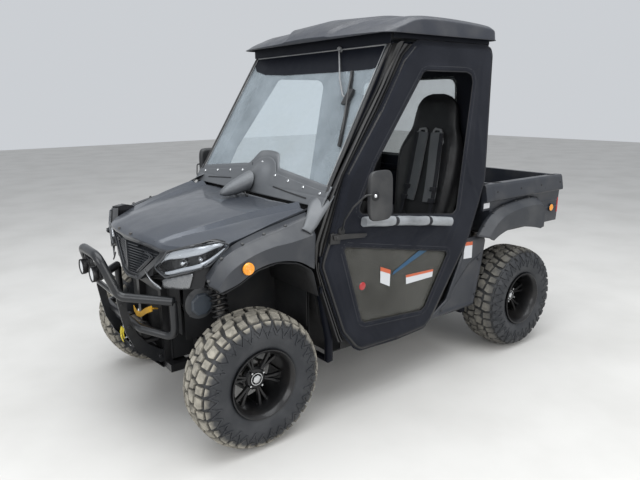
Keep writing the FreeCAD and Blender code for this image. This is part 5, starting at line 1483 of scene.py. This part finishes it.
def seats():
    bm = bmesh.new()
    rings = []
    steps = 40
    for i in range(steps + 1):
        # cut in by 8 mm all round, which the cloth's pressure swells out again
        row = through([Vector(r[:3]) for r in back_line], i / steps)
        more = through([Vector((r[3], r[4], 0)) for r in back_line], i / steps)
        ring = pad_ring(row.y - 8.0, row.z - 8.0, more.x - 8.0, more.y + 8.0, 0.62, 0.86)
        rings.append([(x, y, row.x) for y, x in ring])
    skin(bm, rings)
    back = plump(bm)
    add_twin(back)
    item = piece("seat_back_pads", back, seat_vinyl, "chassis", ("seat_backs",), 60, open_sheet=True)
    bm = bmesh.new()
    rings = []
    for x, low, top, wing, half in base_line:
        rings.append([(x, y, z) for y, z in pad_ring(half, top, wing, low, 0.6, 0.85)])
    skin(bm, rings)
    pad = plump(bm)
    add_twin(pad)
    item = piece("seat_base_pads", pad, seat_vinyl, "chassis", ("seat_cushions",), 60,
                 open_sheet=True)


def back_front(z, y):
    """Front of the seat's padding at a place across and up it."""
    for a, b in zip(back_line, back_line[1:]):
        if a[0] <= z <= b[0]:
            t = (z - a[0]) / (b[0] - a[0])
            half, front, wing = mix(a[1], b[1], t), mix(a[2], b[2], t), mix(a[3], b[3], t)
            side = min(1, abs(y) / half)
            return mix(front, wing, ease(side, 0.55, 0.86))
    return -545.0


def band(bm, path, width, thick, lift):
    """Flat strap over the seat along (y, z) places, its face lifted off the padding."""
    rings = []
    for i, (y, z) in enumerate(path):
        y0, z0 = path[max(0, i - 1)]
        y1, z1 = path[min(len(path) - 1, i + 1)]
        run = Vector((y1 - y0, z1 - z0)).normalized()
        n = Vector((run.y, -run.x)) * width / 2.0
        ring = []
        for side, up in ((-1, 0), (-1, 1), (1, 1), (1, 0)):
            yy, zz = y + n.x * side, z + n.y * side
            ring.append(Vector((back_front(zz, yy) + lift + thick * up, seat_mid + yy, zz)))
        rings.append(ring)
    skin(bm, rings)


def harness():
    pads, web, steel = bmesh.new(), bmesh.new(), bmesh.new()
    for g in (1, -1):
        path = [(g * (58 + 26 * t), mix(1404, 990, t)) for t in [k / 12.0 for k in range(13)]]
        band(pads, path, 90, 11, 3)
        path = [(g * (98 + 22 * t), mix(1400, 900, t)) for t in [k / 16.0 for k in range(17)]]
        band(web, path, 26, 4, 13)
        for z in (1070, 1004):
            path = [(g * (112 - (z - 1004) * 0.05), z + 12), (g * (113 - (z - 1004) * 0.05), z - 12)]
            band(web, path, 44, 14, 13)
        path = [(g * 104, 900), (g * 64, 868), (g * 20, 846)]
        band(web, path, 46, 4, 16)
        loop = [(g * 30, 1412), (g * 30, 1332), (g * 92, 1314), (g * 110, 1342), (g * 82, 1420), (g * 42, 1424)]
        closed = loop + loop[:1]
        band(steel, closed, 14, 9, 1)
    path = [(-34, 846), (34, 846)]
    band(web, path, 60, 22, 14)
    for name, bm, finish in (("harness_pads", pads, pad_grey), ("harness_web", web, binding_tape),
                             ("harness_bezels", steel, bezel_grey)):
        both_sides(bm)
        piece(name, bm, finish, "chassis")
    # black plates just proud of the padding: painted shade inside the harness slots
    slots = bmesh.new()
    for g in (1, -1):
        loop = [(g * 36, 1404), (g * 36, 1334), (g * 90, 1322), (g * 98, 1344), (g * 76, 1408)]
        slab(slots, [Vector((back_front(z, y) + 1.2, seat_mid + y, z)) for y, z in loop], (1.5, 0, 0))
    both_sides(slots)
    piece("harness_slot_shade", slots, flat_black_and_painted_shade, "chassis")


roof()
windscreen()
seats()
harness()


# Grille, guard and front running gear

def nose_x(y, back=0.0):
    """Place along X of the V-shaped nose, or so far behind it."""
    return 1283.0 - abs(y) * 0.1676 - back


def nose_plate(bm, outline, back, thick):
    """Plate on the V-shaped nose from (y, z) points of its left half, joined at the middle."""
    slab(bm, [(nose_x(y, back), y, z) for y, z in outline], (-thick, 0, 0))
    middle = [f for f in bm.faces if all(abs(v.co.y) < 0.01 for v in f.verts)]
    bmesh.ops.delete(bm, geom=middle, context="FACES")


def grille():
    """Shield with a stepped border, slanted louvres and two chevrons a side."""
    bm = bmesh.new()
    nose_plate(bm, [(0, 966), (200, 957), (388, 940), (379, 926), (124, 760), (100, 750), (0, 750),
                    (0, 763), (96, 763), (112, 770), (346, 924), (342, 932), (194, 946), (0, 952)], 0, 30)
    both_sides(bm, 0.01)
    step = bmesh.new()
    nose_plate(step, [(0, 950), (194, 944), (340, 930), (344, 924), (110, 771), (96, 765), (0, 765),
                      (0, 778), (92, 778), (104, 785), (304, 917), (300, 923), (180, 933), (0, 937)], 9, 20)
    both_sides(step, 0.01)
    absorb(bm, step)
    piece("grille_border", bm, grille_black, "chassis", ("grille",), 25, bevel=2.2)
    bm = bmesh.new()
    for i in range(11):
        z = 782.0 + 13.6 * i
        reach = 92.0 + (z - 772.0) * 1.5
        if z > 905.0:
            reach = min(reach, (936.0 - z - 6.0) * 9.0)
        rings = [[Vector((nose_x(y, 12.0 + b), y, z + h)) for b, h in ((0, 0), (1, 4.5), (20, 13), (20, 8))]
                 for y in (-reach, 0, reach)]
        skin(bm, rings)
    block(bm, (nose_x(0, 33), -5, 780), (nose_x(0, 9), 5, 934))
    for g in (1, -1):
        for inset in (14, 34):
            path = [(124 - inset, 796 - inset * 0.1), (262 - inset, 896 - inset * 0.25),
                    (214 - inset, 906 - inset * 0.1)]
            tube(bm, [(nose_x(y, 9), g * y, z) for y, z in path], 4.2, 6, 1)
    piece("grille_louvres", bm, grille_black, "chassis", (), 30)
    # black backing: sheets behind the louvres and beside the grille are painted shade of the space behind it, and the
    # apron under each headlamp is real black trim
    bm = bmesh.new()
    for g in (1, -1):
        shield = [(nose_x(y, 34), g * y, z) for y, z in ((0, 950), (342, 930), (110, 768), (0, 764))]
        slab(bm, shield, (-3, 0, 0))
        block(bm, (1150, g * 96, 757), (1250, g * 108, 763))
        slab(bm, [(1215, g * 372, 936), (1238, g * 270, 862), (1240, g * 240, 800), (1246, g * 130, 762),
                  (1246, g * 118, 772), (1210, g * 360, 920)], (-5, 0, 0))
        # black lower apron under the headlamp, back to the wheel well
        outline = [(1236, g * 210, 782), (1166, g * 470, 806), (1120, g * 560, 840), (1120, g * 300, 800)]
        slab(bm, outline, (-6, 0, -4))
    piece("grille_shade_backing", bm, deep_black_and_painted_shade, "chassis")


def spot_lamps():
    shell, glass = bmesh.new(), bmesh.new()
    spot = (1446, 84, 813)
    lathe(shell, [(0, -12), (14, -11), (27, -4), (35, 6), (38, 14), (38, 30), (35.5, 30.5),
                  (34, 26), (0, 24)], spot, "X", 40)
    lathe(glass, [(0, 29), (16, 28.6), (29, 27.2), (34, 25.5), (34, 22), (0, 22)], spot, "X", 40)
    block(shell, (1444, 78, 848), (1452, 90, 884))
    for side in (-1, 1):
        # forked bracket round each lamp
        path = [(1446, 84 + side * 8, 862), (1446, 84 + side * 42, 856), (1446, 84 + side * 44, 812)]
        tube(shell, path, 3.4, 8, 1)
    for i in range(7):
        # cooling rings round the barrel
        near, far = 4.0 * i - 19.0, 4.0 * i - 17.0
        lathe(shell, [(30, near), (33.5, near), (33.5, far), (30, far), (30, near)], spot, "X", 32)
    both_sides(shell)
    both_sides(glass)
    piece("spot_lamp_shells", shell, frame_black, "chassis", (), 35)
    piece("spot_lamp_glass", glass, lamp_white, "chassis", (), 35)
    bm = bmesh.new()
    rings = [(0, 9)]
    for r in (5, 9, 13, 17, 21):
        rings += [(r, 9.6), (r + 1.6, 10.6), (r + 2.6, 9.6)]
    lathe(bm, rings + [(25.5, 9), (27.5, 5), (27.5, 0), (0, 0)], (1006, 738.4, 904), "Y", 40)
    both_sides(bm)
    piece("side_markers", bm, lens_amber, "chassis", (), 35)


def guard():
    """Bull bar of round tube with its two narrow uprights that sweep back under the nose."""
    bm = bmesh.new()
    top = [(1206, 392, 705), (1385, 180, 708), (1450, 122, 905), (1450, -122, 905), (1385, -180, 708),
           (1206, -392, 705)]
    low = [(1206, 384, 700), (1206, 384, 524), (1318, 235, 552), (1318, -235, 552), (1206, -384, 524),
           (1206, -384, 700)]
    tube(bm, top, 22, 60, 5)
    tube(bm, low, 19, 45, 5)
    for g in (1, -1):
        spot = Vector((1206, g * 392, 705))
        lathe(bm, [(0, 5), (14, 4), (21, 0), (0, 0)], spot, (-0.64, g * 0.76, 0), 28)
        outline = [(1394, 700), (1356, 700), (1338, 580), (1306, 492), (1258, 428), (1196, 384), (1180, 380),
                   (1180, 312), (1202, 314), (1262, 356), (1326, 428), (1362, 510), (1378, 596)]
        path = rounded([Vector((x, z, 0)) for x, z in outline], 30, True, 3)
        slab(bm, [(p.x, g * 148.0, p.y) for p in path], (0, g * 8.0, 0))
        studs(bm, [(1374, g * 156, 660), (1346, g * 156, 540), (1200, g * 156, 348)], (0, g, 0), 9, 6, 6)
    tube(bm, [(1384, -148, 706), (1384, 148, 706)], 12)
    piece("guard_tubes", bm, bar_black, "chassis", ("bull_bar",), 32)


def winch_set():
    """Winch with its wound rope, roller fairlead, hook, and a yellow pull strap tied below it."""
    bm = bmesh.new()
    for g in (1, -1):
        spot = (1250, g * 68.0, 482)
        lathe(bm, [(0, 0), (40, 0), (42, 3), (42, 12), (34, 15), (34, 62), (31, 65),
                   (0, 65)], spot, (0, g, 0), 28)
        for i in range(8):
            a = math.radians(45.0 * i)
            rod = (1250 + math.cos(a) * 37, g * 76, 482 + math.sin(a) * 37)
            lathe(bm, [(0, 0), (3.5, 0), (3.5, 8), (0, 8)], rod, (0, g, 0), 8)
    block(bm, (1200, -146, 430), (1296, 146, 444))
    block(bm, (1290, -86, 448), (1296, 86, 512))
    for z in (462, 498):
        lathe(bm, [(0, -66), (8, -66), (8, 66), (0, 66)], (1300, 0, z), "Y", 20)
    piece("winch_body", bm, frame_black, "chassis", ("winch",), 35, bevel=1.0)
    bm = bmesh.new()
    profile = [(24, -66)]
    for i in range(22):
        y = -66.0 + 6.0 * i
        profile += [(31, y + 1.0), (33.5, y + 3.0), (31, y + 5.0)]
    profile += [(24, 66), (24, -66)]
    lathe(bm, profile, (1250, 0, 482), "Y", 24)
    tube(bm, [(1262, 4, 452), (1300, 2, 480), (1322, 0, 480)], 3.2, 6, 1)
    piece("winch_rope", bm, rope_grey, "chassis")
    bm = bmesh.new()
    hook = [(1322, 0, 492), (1324, 0, 470), (1326, 0, 452), (1334, 0, 434), (1326, 0, 420), (1310, 0, 428),
            (1308, 0, 440)]
    tube(bm, hook, 5.5, 9, 2)
    for y in (-54, 54):
        ring = [(1304, y, 436), (1316, y, 418), (1312, y, 400), (1296, y, 400), (1290, y, 416)]
        tube(bm, ring, 4.5, 8, 2)
    piece("winch_hook", bm, bright_steel, "chassis")
    bm = bmesh.new()
    # folded pull strap round the hook, and the loop that hangs over the fairlead
    for path in ([(1328, -6, 486), (1336, -4, 462), (1338, 4, 436), (1332, 6, 412)],
                 [(1326, 10, 484), (1332, 14, 460), (1328, 12, 430)]):
        rings = []
        w = 11.0
        for p in rounded(path, 20):
            rings.append([Vector((p.x, p.y - w, p.z)), Vector((p.x + 2.6, p.y - w, p.z)),
                          Vector((p.x + 2.6, p.y + w, p.z)), Vector((p.x, p.y + w, p.z))])
        skin(bm, rings)
    piece("pull_strap", bm, strap_yellow, "chassis")
    bm = bmesh.new()
    path = rounded([(1236, -72, 548), (1240, -24, 534), (1242, 40, 546), (1240, 120, 590), (1236, 190, 620)], 30)
    rings = [[p + Vector((0, 0, -15)), p + Vector((3.5, 0, -15)), p + Vector((3.5, 0, 15)), p + Vector((0, 0, 15))]
             for p in path]
    skin(bm, rings)
    tube(bm, [(1196, 150, 600), (1232, 186, 618)], 5, 5, 1)
    piece("tie_strap", bm, strap_orange, "chassis")


def airbox():
    bm = bmesh.new()
    spot = (1044, 225, 642)
    lathe(bm, [(0, 0), (66, 0), (72, 6), (72, 78), (84, 82), (84, 93), (78, 98),
               (64, 100), (0, 100)], spot, "Y", 40)
    for i in range(18):
        a = math.radians(20.0 * i)
        unit = Vector((math.cos(a), 0, math.sin(a)))
        flat = Vector((-math.sin(a), 0, math.cos(a))) * 2.5
        base = Vector(spot) + unit * 70.0 + Vector((0, 8, 0))
        slab(bm, [base - flat, base + flat, base + flat + unit * 7.0, base - flat + unit * 7.0], (0, 74, 0))
    for i in range(4):
        a = math.radians(45.0 + 90.0 * i)
        clip = Vector(spot) + Vector((math.cos(a) * 72.0, 96, math.sin(a) * 72.0))
        block(bm, clip + Vector((-9, -14, -6)), clip + Vector((9, 6, 6)))
    block(bm, (1020, 168.6, 684), (1056, 228.6, 716))
    tube(bm, [(1000, 262, 716), (960, 250, 770), (900, 200, 800)], 24, 30, 3)
    piece("filter_can", bm, can_grey, "chassis", ("side_airbox",), 32, bevel=1.0)
    bm = bmesh.new()
    spot = (1038, 225, 636)
    lathe(bm, [(0, 112), (50, 112), (59, 105), (60, 99), (0, 99)], spot, "Y", 8, 1, 22.5)
    piece("filter_lid", bm, lid_grey, "chassis", (), 25, bevel=1.2)


def coil(bm, start, end, radius, wire, turns, low, high):
    """Coil spring wound round a line, between two shares of its length."""
    start, end = Vector(start), Vector(end)
    unit = (end - start).normalized()
    side = unit.orthogonal().normalized()
    up = unit.cross(side)
    steps = int(turns * 18)

    def place(u, v):
        angle = 2.0 * math.pi * turns * v
        out = side * math.cos(angle) + up * math.sin(angle)
        spine = start.lerp(end, mix(low, high, v)) + out * radius
        a = 2.0 * math.pi * u
        thin = wire if 0.001 < v < 0.999 else wire * 0.02
        return spine + (out * math.cos(a) + unit * math.sin(a)) * thin
    surface(bm, 8, steps, place)


def shocks():
    springs, bodies = bmesh.new(), bmesh.new()
    for top, foot in (((974, 368, 739), (974, 428, 450)),
                      ((-976, 368, 708), (-976, 400, 448))):
        axis = Vector(top) - Vector(foot)
        size = axis.length
        coil(springs, foot, top, 38, 6, 7, 0.30, 0.93)
        profile = [(0, 0), (10, 0), (10, 0.05 * size), (17, 0.06 * size), (17, 0.26 * size),
                   (43, 0.27 * size), (43, 0.295 * size), (22, 0.30 * size), (22, 0.62 * size),
                   (14, 0.63 * size), (9, 0.64 * size), (9, 0.93 * size), (43, 0.935 * size),
                   (43, 0.955 * size), (12, 0.96 * size), (12, size), (0, size)]
        lathe(bodies, profile, foot, axis, 28)
        for end in (top, foot):
            lathe(bodies, [(0, -16), (13, -16), (13, 16), (0, 16)], end, "X", 20)
    both_sides(springs)
    both_sides(bodies)
    piece("shock_springs", springs, frame_black, "chassis", ("shock_absorbers",), 60)
    piece("shock_bodies", bodies, steel_dark, "chassis", (), 35)


def black_shade_panels():
    """Inner fenders, engine bay sides and the apron that stop the view through the front, black as painted shade of
    the wheel wells and engine bay.
    """
    bm = bmesh.new()
    for g in (1, -1):
        slab(bm, [(1128, g * 322, 812), (1128, g * 322, 470), (614, g * 322, 470), (614, g * 322, 828),
                  (850, g * 322, 896), (956, g * 322, 880)], (0, -g * 3.0, 0))
        block(bm, (600, g * 187, 330), (1150, g * 190, 700))
        block(bm, (611, g * 322, 505), (614, g * 612, 828))
    block(bm, (1143, -320, 500), (1146, 320, 760))
    block(bm, (1143, -190, 330), (1146, 190, 500))
    block(bm, (591, -600, 455), (594, 600, 796))
    piece("inner_shade_panels", bm, deep_black_and_painted_shade, "chassis")


grille()
spot_lamps()
guard()
winch_set()
airbox()
shocks()
black_shade_panels()


# Cargo bed

def grooved(points, bend):
    """Closed section of a wall with rounded corners."""
    return rounded([Vector((y, z, 0)) for y, z in points], bend, True, 3)


def bed():
    """Double-walled bed: rounded rails with stake pockets drawn as patches of painted shade, flared band, ribbed floor
    and headboard.
    """
    bm = bmesh.new()
    x0, x1 = -1470.0, -722.0
    section = grooved([(628, 790), (628, 1100), (680, 1100), (689, 1086), (702, 1014), (702, 1000), (676, 994),
                       (671, 900), (671, 860), (668, 784), (662, 784), (662, 790)], 5)
    slab(bm, [(x0, p.x, p.y) for p in section], (x1 - x0, 0, 0))
    # outer skin carried forward past the headboard, towards the door
    front = grooved([(660, 940), (660, 1100), (680, 1100), (689, 1086), (702, 1014), (702, 1000), (676, 994),
                     (674, 940)], 4)
    slab(bm, [(x1 - 4, p.x, p.y) for p in front], (74, 0, 0))
    # pressed stiffeners along the lower side panel and bolt bosses on the band
    for z in (880, 925):
        slab(bm, [(-1456, 672, z), (-1456, 675, z + 4), (-1456, 675, z + 10), (-1456, 672, z + 14)], (728, 0, 0))
    both_sides(bm)
    # headboard and floor
    block(bm, (-752, -628, 790), (x1, 628, 1100))
    block(bm, (x0 + 32, -662, 790), (x1, 662, 796))
    for i in range(13):
        y = -576.0 + 96.0 * i
        slab(bm, [(x0 + 40, y - 22, 796), (x0 + 40, y - 16, 801), (x0 + 40, y + 16, 801), (x0 + 40, y + 22, 796)],
             (678, 0, 0))
    for g in (1, -1):
        y = g * 330.0
        slab(bm, [(-752, y - 250, 850), (-752, y + 250, 850), (-752, y + 230, 1050), (-752, y - 230, 1050)],
             (-4, 0, 0))
        block(bm, (-1290, g * 215 - 18, 726), (x1, g * 215 + 18, 791))
        lathe(bm, [(11.1, -5.5), (18, -5.5), (18, 5.5), (11.1, 5.5), (11.1, -5.5)], (-1330, g * 249.5, 742),
              "Y", 24)
        block(bm, (-1348, g * 244, 752), (-1312, g * 255, 791))
        for x in (-800, -1100, -1390):
            tube(bm, [(x - 22, g * 626, 850), (x - 22, g * 612, 838), (x + 22, g * 612, 838), (x + 22, g * 626, 850)],
                 4.5, 8, 2)
    piece("bed_shell", bm, bed_plastic, "cargo_bed", ("cargo_bed",), 30, bevel=2.0)
    bm = bmesh.new()
    for g in (1, -1):
        # flat black patches on the rail tops: painted shade inside the stake pockets
        for x in (-800, -1392):
            block(bm, (x - 32, g * 641, 1100.2), (x + 32, g * 667, 1101.4))
        studs(bm, [(x, g * 693.0, 1050) for x in (-760, -1000, -1220, -1440)], (0, g, 0.18), 7, 4, 10)
    piece("bed_pocket_shade_and_bolts", bm, deep_black_and_painted_shade, "cargo_bed", (), 35)


bed_sections = [
    # bed side, shoulder, lip, arch edge, inner turn of the flare: (x, y, z)
    [(-593, 676, 799), (-599, 694, 797), (-640, 742, 790), (-690, 742, 767), (-692, 716, 769)],
    [(-686, 676, 899), (-690, 694, 894), (-715, 742, 866), (-746, 742, 792), (-748, 716, 795)],
    [(-782, 676, 950), (-784, 694, 945), (-800, 742, 908), (-833, 742, 815), (-834, 716, 819)],
    [(-911, 676, 972), (-911, 694, 968), (-912, 742, 930), (-915, 742, 822), (-915, 716, 826)],
    [(-1069, 676, 984), (-1068, 694, 980), (-1062, 742, 940), (-1030, 742, 806), (-1030, 716, 810)],
    [(-1180, 676, 976), (-1178, 694, 971), (-1160, 742, 934), (-1108, 742, 792), (-1106, 716, 796)],
    [(-1232, 676, 935), (-1228, 694, 930), (-1204, 742, 903), (-1150, 742, 782), (-1148, 716, 786)],
    [(-1236, 676, 786), (-1232, 694, 786), (-1212, 742, 784), (-1172, 742, 776), (-1170, 716, 780)],
]


def bed_flare(label, g):
    """Rear flare with its bolts and the black liner under it."""
    lines = []
    stations = 56
    for i in range(stations + 1):
        row = [through([s[k] for s in bed_sections], i / stations) for k in range(5)]
        lines.append(rounded(row[:3], 10) + rounded(row[2:], 4)[1:])
    bm = bmesh.new()
    net(bm, lines)
    face_out(bm, "z")
    piece("rear_flare_" + label, bm, flare_plastic, "cargo_bed", ("bed_fenders",), 34, wall=3.5,
          side=g)
    bm = bmesh.new()
    arch = rounded([(-690, 775), (-746, 800), (-833, 824), (-915, 830), (-1030, 814), (-1108, 800), (-1172, 784)], 60)
    net(bm, [[Vector((p.x, mix(664, 736, k / 3), p.y)) for p in arch] for k in range(4)])
    bmesh.ops.recalc_face_normals(bm, faces=bm.faces)
    piece("wheel_liner_rear_" + label, bm, deep_black_and_painted_shade, "cargo_bed", wall=2.0, side=g)
    bm = bmesh.new()
    for k in range(7):
        row = through([s[1] for s in bed_sections], 0.08 + 0.13 * k)
        studs(bm, [row + Vector((0, -4, 2))], (0, 0.5, 0.85), 7, 4.5, 10)
    piece("rear_flare_bolts_" + label, bm, trim_plastic, "cargo_bed", side=g)


def tail():
    """Tailgate with its pressed frame and latch, the tail lamps and the side reflectors."""
    bm = bmesh.new()
    x0 = -1472.0
    block(bm, (x0 + 7, -622, 806), (x0 + 26, 622, 1096))
    # raised frame and ribs on the outer face
    for y0, y1, z0, z1 in ((-622, 622, 806, 850), (-622, 622, 1052, 1096), (-622, -566, 846, 1056),
                           (566, 622, 846, 1056), (-20, 20, 846, 1056)):
        block(bm, (x0, y0, z0), (x0 + 8, y1, z1))
    for g in (1, -1):
        for z in (900, 950, 1000):
            block(bm, (x0 + 3, g * 60, z), (x0 + 8, g * 530, z + 12))
    lathe(bm, [(0, -627), (9, -627), (9, 627), (0, 627)], (-1459, 0, 806), "Y", 20)
    piece("tailgate_panel", bm, bed_plastic, "tailgate", ("tailgate",), 30, bevel=1.6)
    bm = bmesh.new()
    slab(bm, [(x0 - 1, -70, 1058), (x0 - 1, 70, 1058), (x0 - 1, 62, 1088), (x0 - 1, -62, 1088)], (6, 0, 0))
    slab(bm, [(x0 - 5, -48, 1066), (x0 - 5, 48, 1066), (x0 - 5, 44, 1080), (x0 - 5, -44, 1080)], (5, 0, 0))
    piece("tailgate_latch", bm, trim_plastic, "tailgate", (), 30, bevel=1.2)
    red, amber, black = bmesh.new(), bmesh.new(), bmesh.new()
    block(red, (-1476, 638, 842), (-1470.3, 664, 984))
    for z in (852, 876, 900, 924, 948, 968):
        block(red, (-1477, 640, z), (-1475, 662, z + 9))
    slab(red, [(-1470, 664, 842), (-1470, 672.5, 842), (-1470, 673.5, 984), (-1470, 664, 984)], (14, 0, 0))
    block(black, (-1473, 634, 836), (-1470.3, 668, 990))
    spot = (-1386, 674.6, 880)
    lathe(amber, [(0, 7), (12, 6.8), (20, 6), (23, 4), (23, 0), (0, 0)], spot, "Y", 32)
    lathe(black, [(22.5, 5), (26, 5), (26, 0), (22.5, 0), (22.5, 5)], spot, "Y", 32)
    for bm, name, finish in ((red, "tail_lamp_red", lens_red), (amber, "bed_reflectors", lens_amber),
                             (black, "tail_lamp_frames", trim_plastic)):
        both_sides(bm)
        piece(name, bm, finish, "cargo_bed", ("tail_lamps",) if name == "tail_lamp_red" else (), 35)


bed()
tail()
for label, g in sides:
    bed_flare(label, g)


# Cab back and sides

def curtain():
    """Slack cloth behind the seats with a hemmed and stitched clear window."""
    x = -650.3
    outline = closed_line([(596, 880), (618, 1150), (618, 1700), (590, 1842), (-590, 1842), (-618, 1700), (-618, 1150),
                           (-596, 880)], 30)
    hole = closed_line([(430, 1240), (420, 1720), (-420, 1720), (-430, 1240)], 60)
    bm = trimmed_grid(outline, [hole], 14)
    for v in bm.verts:
        y, z = v.co.x, v.co.y
        edge = nearest((y, z), outline)[0]
        pane = nearest((y, z), hole)[0]
        slack = ease(edge, 20, 90) * ease(pane, 6, 50)
        wave = 2.2 * math.sin(y / 95.0 + z / 60.0) + 1.8 * math.sin(y / 47.0 - z / 85.0 + 1.0)
        wave += 1.4 * math.sin(z / 33.0)
        lift = 1.6 * (1.0 - ease(pane, 26, 31)) + 1.2 * math.exp(-((edge - 20.0) / 4.0) ** 2)
        v.co = Vector((x - 3.0 - lift + slack * wave * 0.5, y, z))
    face_out(bm, "x", -1)
    cloth = piece("curtain_cloth", bm, door_fabric, "chassis", ("rear_curtain",), 60, wall=2.4)
    bm = trimmed_grid(closed_line([(444, 1226), (434, 1734), (-434, 1734), (-444, 1226)], 60), [], 30)
    for v in bm.verts:
        y, z = v.co.x, v.co.y
        v.co = Vector((x + 0.9 + 0.6 * math.sin(y / 80.0 + z / 70.0), y, z))
    bmesh.ops.recalc_face_normals(bm, faces=bm.faces)
    pane = piece("curtain_pane", bm, vinyl_window, "chassis", ("rear_window",), 60, wall=0.7)
    bm = bmesh.new()
    tube(bm, [(x - 4.4, y, z) for y, z in hole] + [(x - 4.4, *hole[0])], 3, 2, 1)
    binding = piece("curtain_binding", bm, binding_tape, "chassis", (), 60)
    bm = bmesh.new()
    stitches(bm, hole, 12, lambda y, z: 0.0)
    stitches(bm, hole, 24, lambda y, z: 0.0)
    for v in bm.verts:
        v.co = Vector((x - 6.4 - v.co.y, v.co.x, v.co.z))
    thread = piece("curtain_stitching", bm, thread_grey, "chassis", (), 60)
    (flat_area(outline) - flat_area(hole)) * MM * MM


def side_panel(label, g):
    """Corner panel behind the door with rounded edges, a swept crease and the rocker below."""
    outline = closed_line([(-210, 345), (-372, 440), (-498, 690), (-516, 788), (-700, 786), (-716, 752), (-690, 600),
                           (-632, 352)], 14)
    crease = [(-300, 395), (-430, 520), (-560, 640), (-690, 700)]
    bm = trimmed_grid(outline, [], 7)
    for v in bm.verts:
        x, z = v.co.x, v.co.y
        edge = nearest((x, z), outline)[0]
        near = min(math.hypot(x - a, z - b) for a, b in
                   [(mix(p[0], q[0], k / 9.0), mix(p[1], q[1], k / 9.0)) for p, q in zip(crease, crease[1:])
                    for k in range(10)])
        over = z - along_line([(-x0, z0) for x0, z0 in crease], -x)
        y = 664.0 - 7.0 * (1.0 - ease(edge, -8, 16)) * 1.4
        y -= 6.0 * ease(-over, 0, 26) * ease(edge, 14, 30)
        y += 1.5 * math.exp(-(near / 9.0) ** 2) * ease(edge, 10, 24)
        v.co = Vector((x, min(y, 664.5), z))
    face_out(bm, "y")
    for v in drawn_rim(bm):
        v.co.y = 641.0
    piece("corner_panel_" + label, bm, bed_plastic, "chassis", ("side_panels",), 35, wall=3.0, side=g)
    bm = bmesh.new()
    block(bm, (-520, g * 612, 560), (-480, g * 658, 600))
    studs(bm, [(x, g * 663.5, z) for x, z in ((-560, 770), (-690, 770), (-655, 640), (-630, 420), (-330, 380))],
          (0, g, 0), 7, 3.5, 10)
    piece("corner_bolts_" + label, bm, trim_plastic, "chassis")


def labels():
    """Blank stickers and reflectors on the corner panel, the bed and the doors' clear panes."""
    rows = (
        # name, finish, body, depth across, outline of (x, z)
        ("corner_label", "white", 0, 664.9, [(-522, 770), (-583, 765), (-583, 664), (-506, 669), (-508, 722)]),
        ("corner_label_top", "orange", 0, 665.7, [(-522, 770), (-583, 765), (-583, 743), (-516, 748)]),
        ("pane_label", "white", 1, 695.6, [(11, 675), (-206, 669), (-200, 626), (7, 623)]),
        ("pane_label_top", "orange", 1, 696.4, [(11, 675), (-206, 669), (-205, 656), (10, 661)]),
        ("pane_label_small", "white", 1, 695.6, [(199, 756), (127, 726), (131, 636), (199, 670)]),
        ("pane_label_small_top", "orange", 1, 696.4, [(199, 756), (127, 726), (128, 704), (199, 734)]),
    )
    for name, tone, door, y, outline in rows:
        finish = label_white if tone == "white" else label_orange
        for label, g in sides if door else (("", 1),):
            bm = bmesh.new()
            slab(bm, [(x, y, z) for x, z in outline], (0, 0.7, 0))
            bmesh.ops.recalc_face_normals(bm, faces=bm.faces)
            if door:
                piece(name + "_" + label, bm, finish, "door_" + label, side=g)
            else:
                both_sides(bm)
                piece(name, bm, finish, "chassis")
    bm = bmesh.new()
    slab(bm, [(-656, 676.3, 988), (-712, 676.3, 988), (-712, 675.6, 956), (-656, 675.6, 956)], (0, 0.7, 0))
    both_sides(bm)
    piece("bed_label", bm, label_white, "cargo_bed")
    for label, g in sides:
        # blue webbing along the pane
        bm = bmesh.new()
        slab(bm, [(x, 695.2, z) for x, z in ((112, 694), (-150, 785), (-88, 796), (104, 712))], (0, 0.6, 0))
        bmesh.ops.recalc_face_normals(bm, faces=bm.faces)
        piece("pane_webbing_" + label, bm, web_blue, "door_" + label, side=g)
        bm = bmesh.new()
        lathe(bm, [(0, 3), (18, 3), (21, 1), (21, 0), (0, 0)], (322, 695, 676), "Y", 28)
        piece("pane_reflector_" + label, bm, lens_red, "door_" + label, (), 35, side=g)


curtain()
for label, g in sides:
    side_panel(label, g)
labels()


bpy.context.scene.view_settings.view_transform = "Standard"
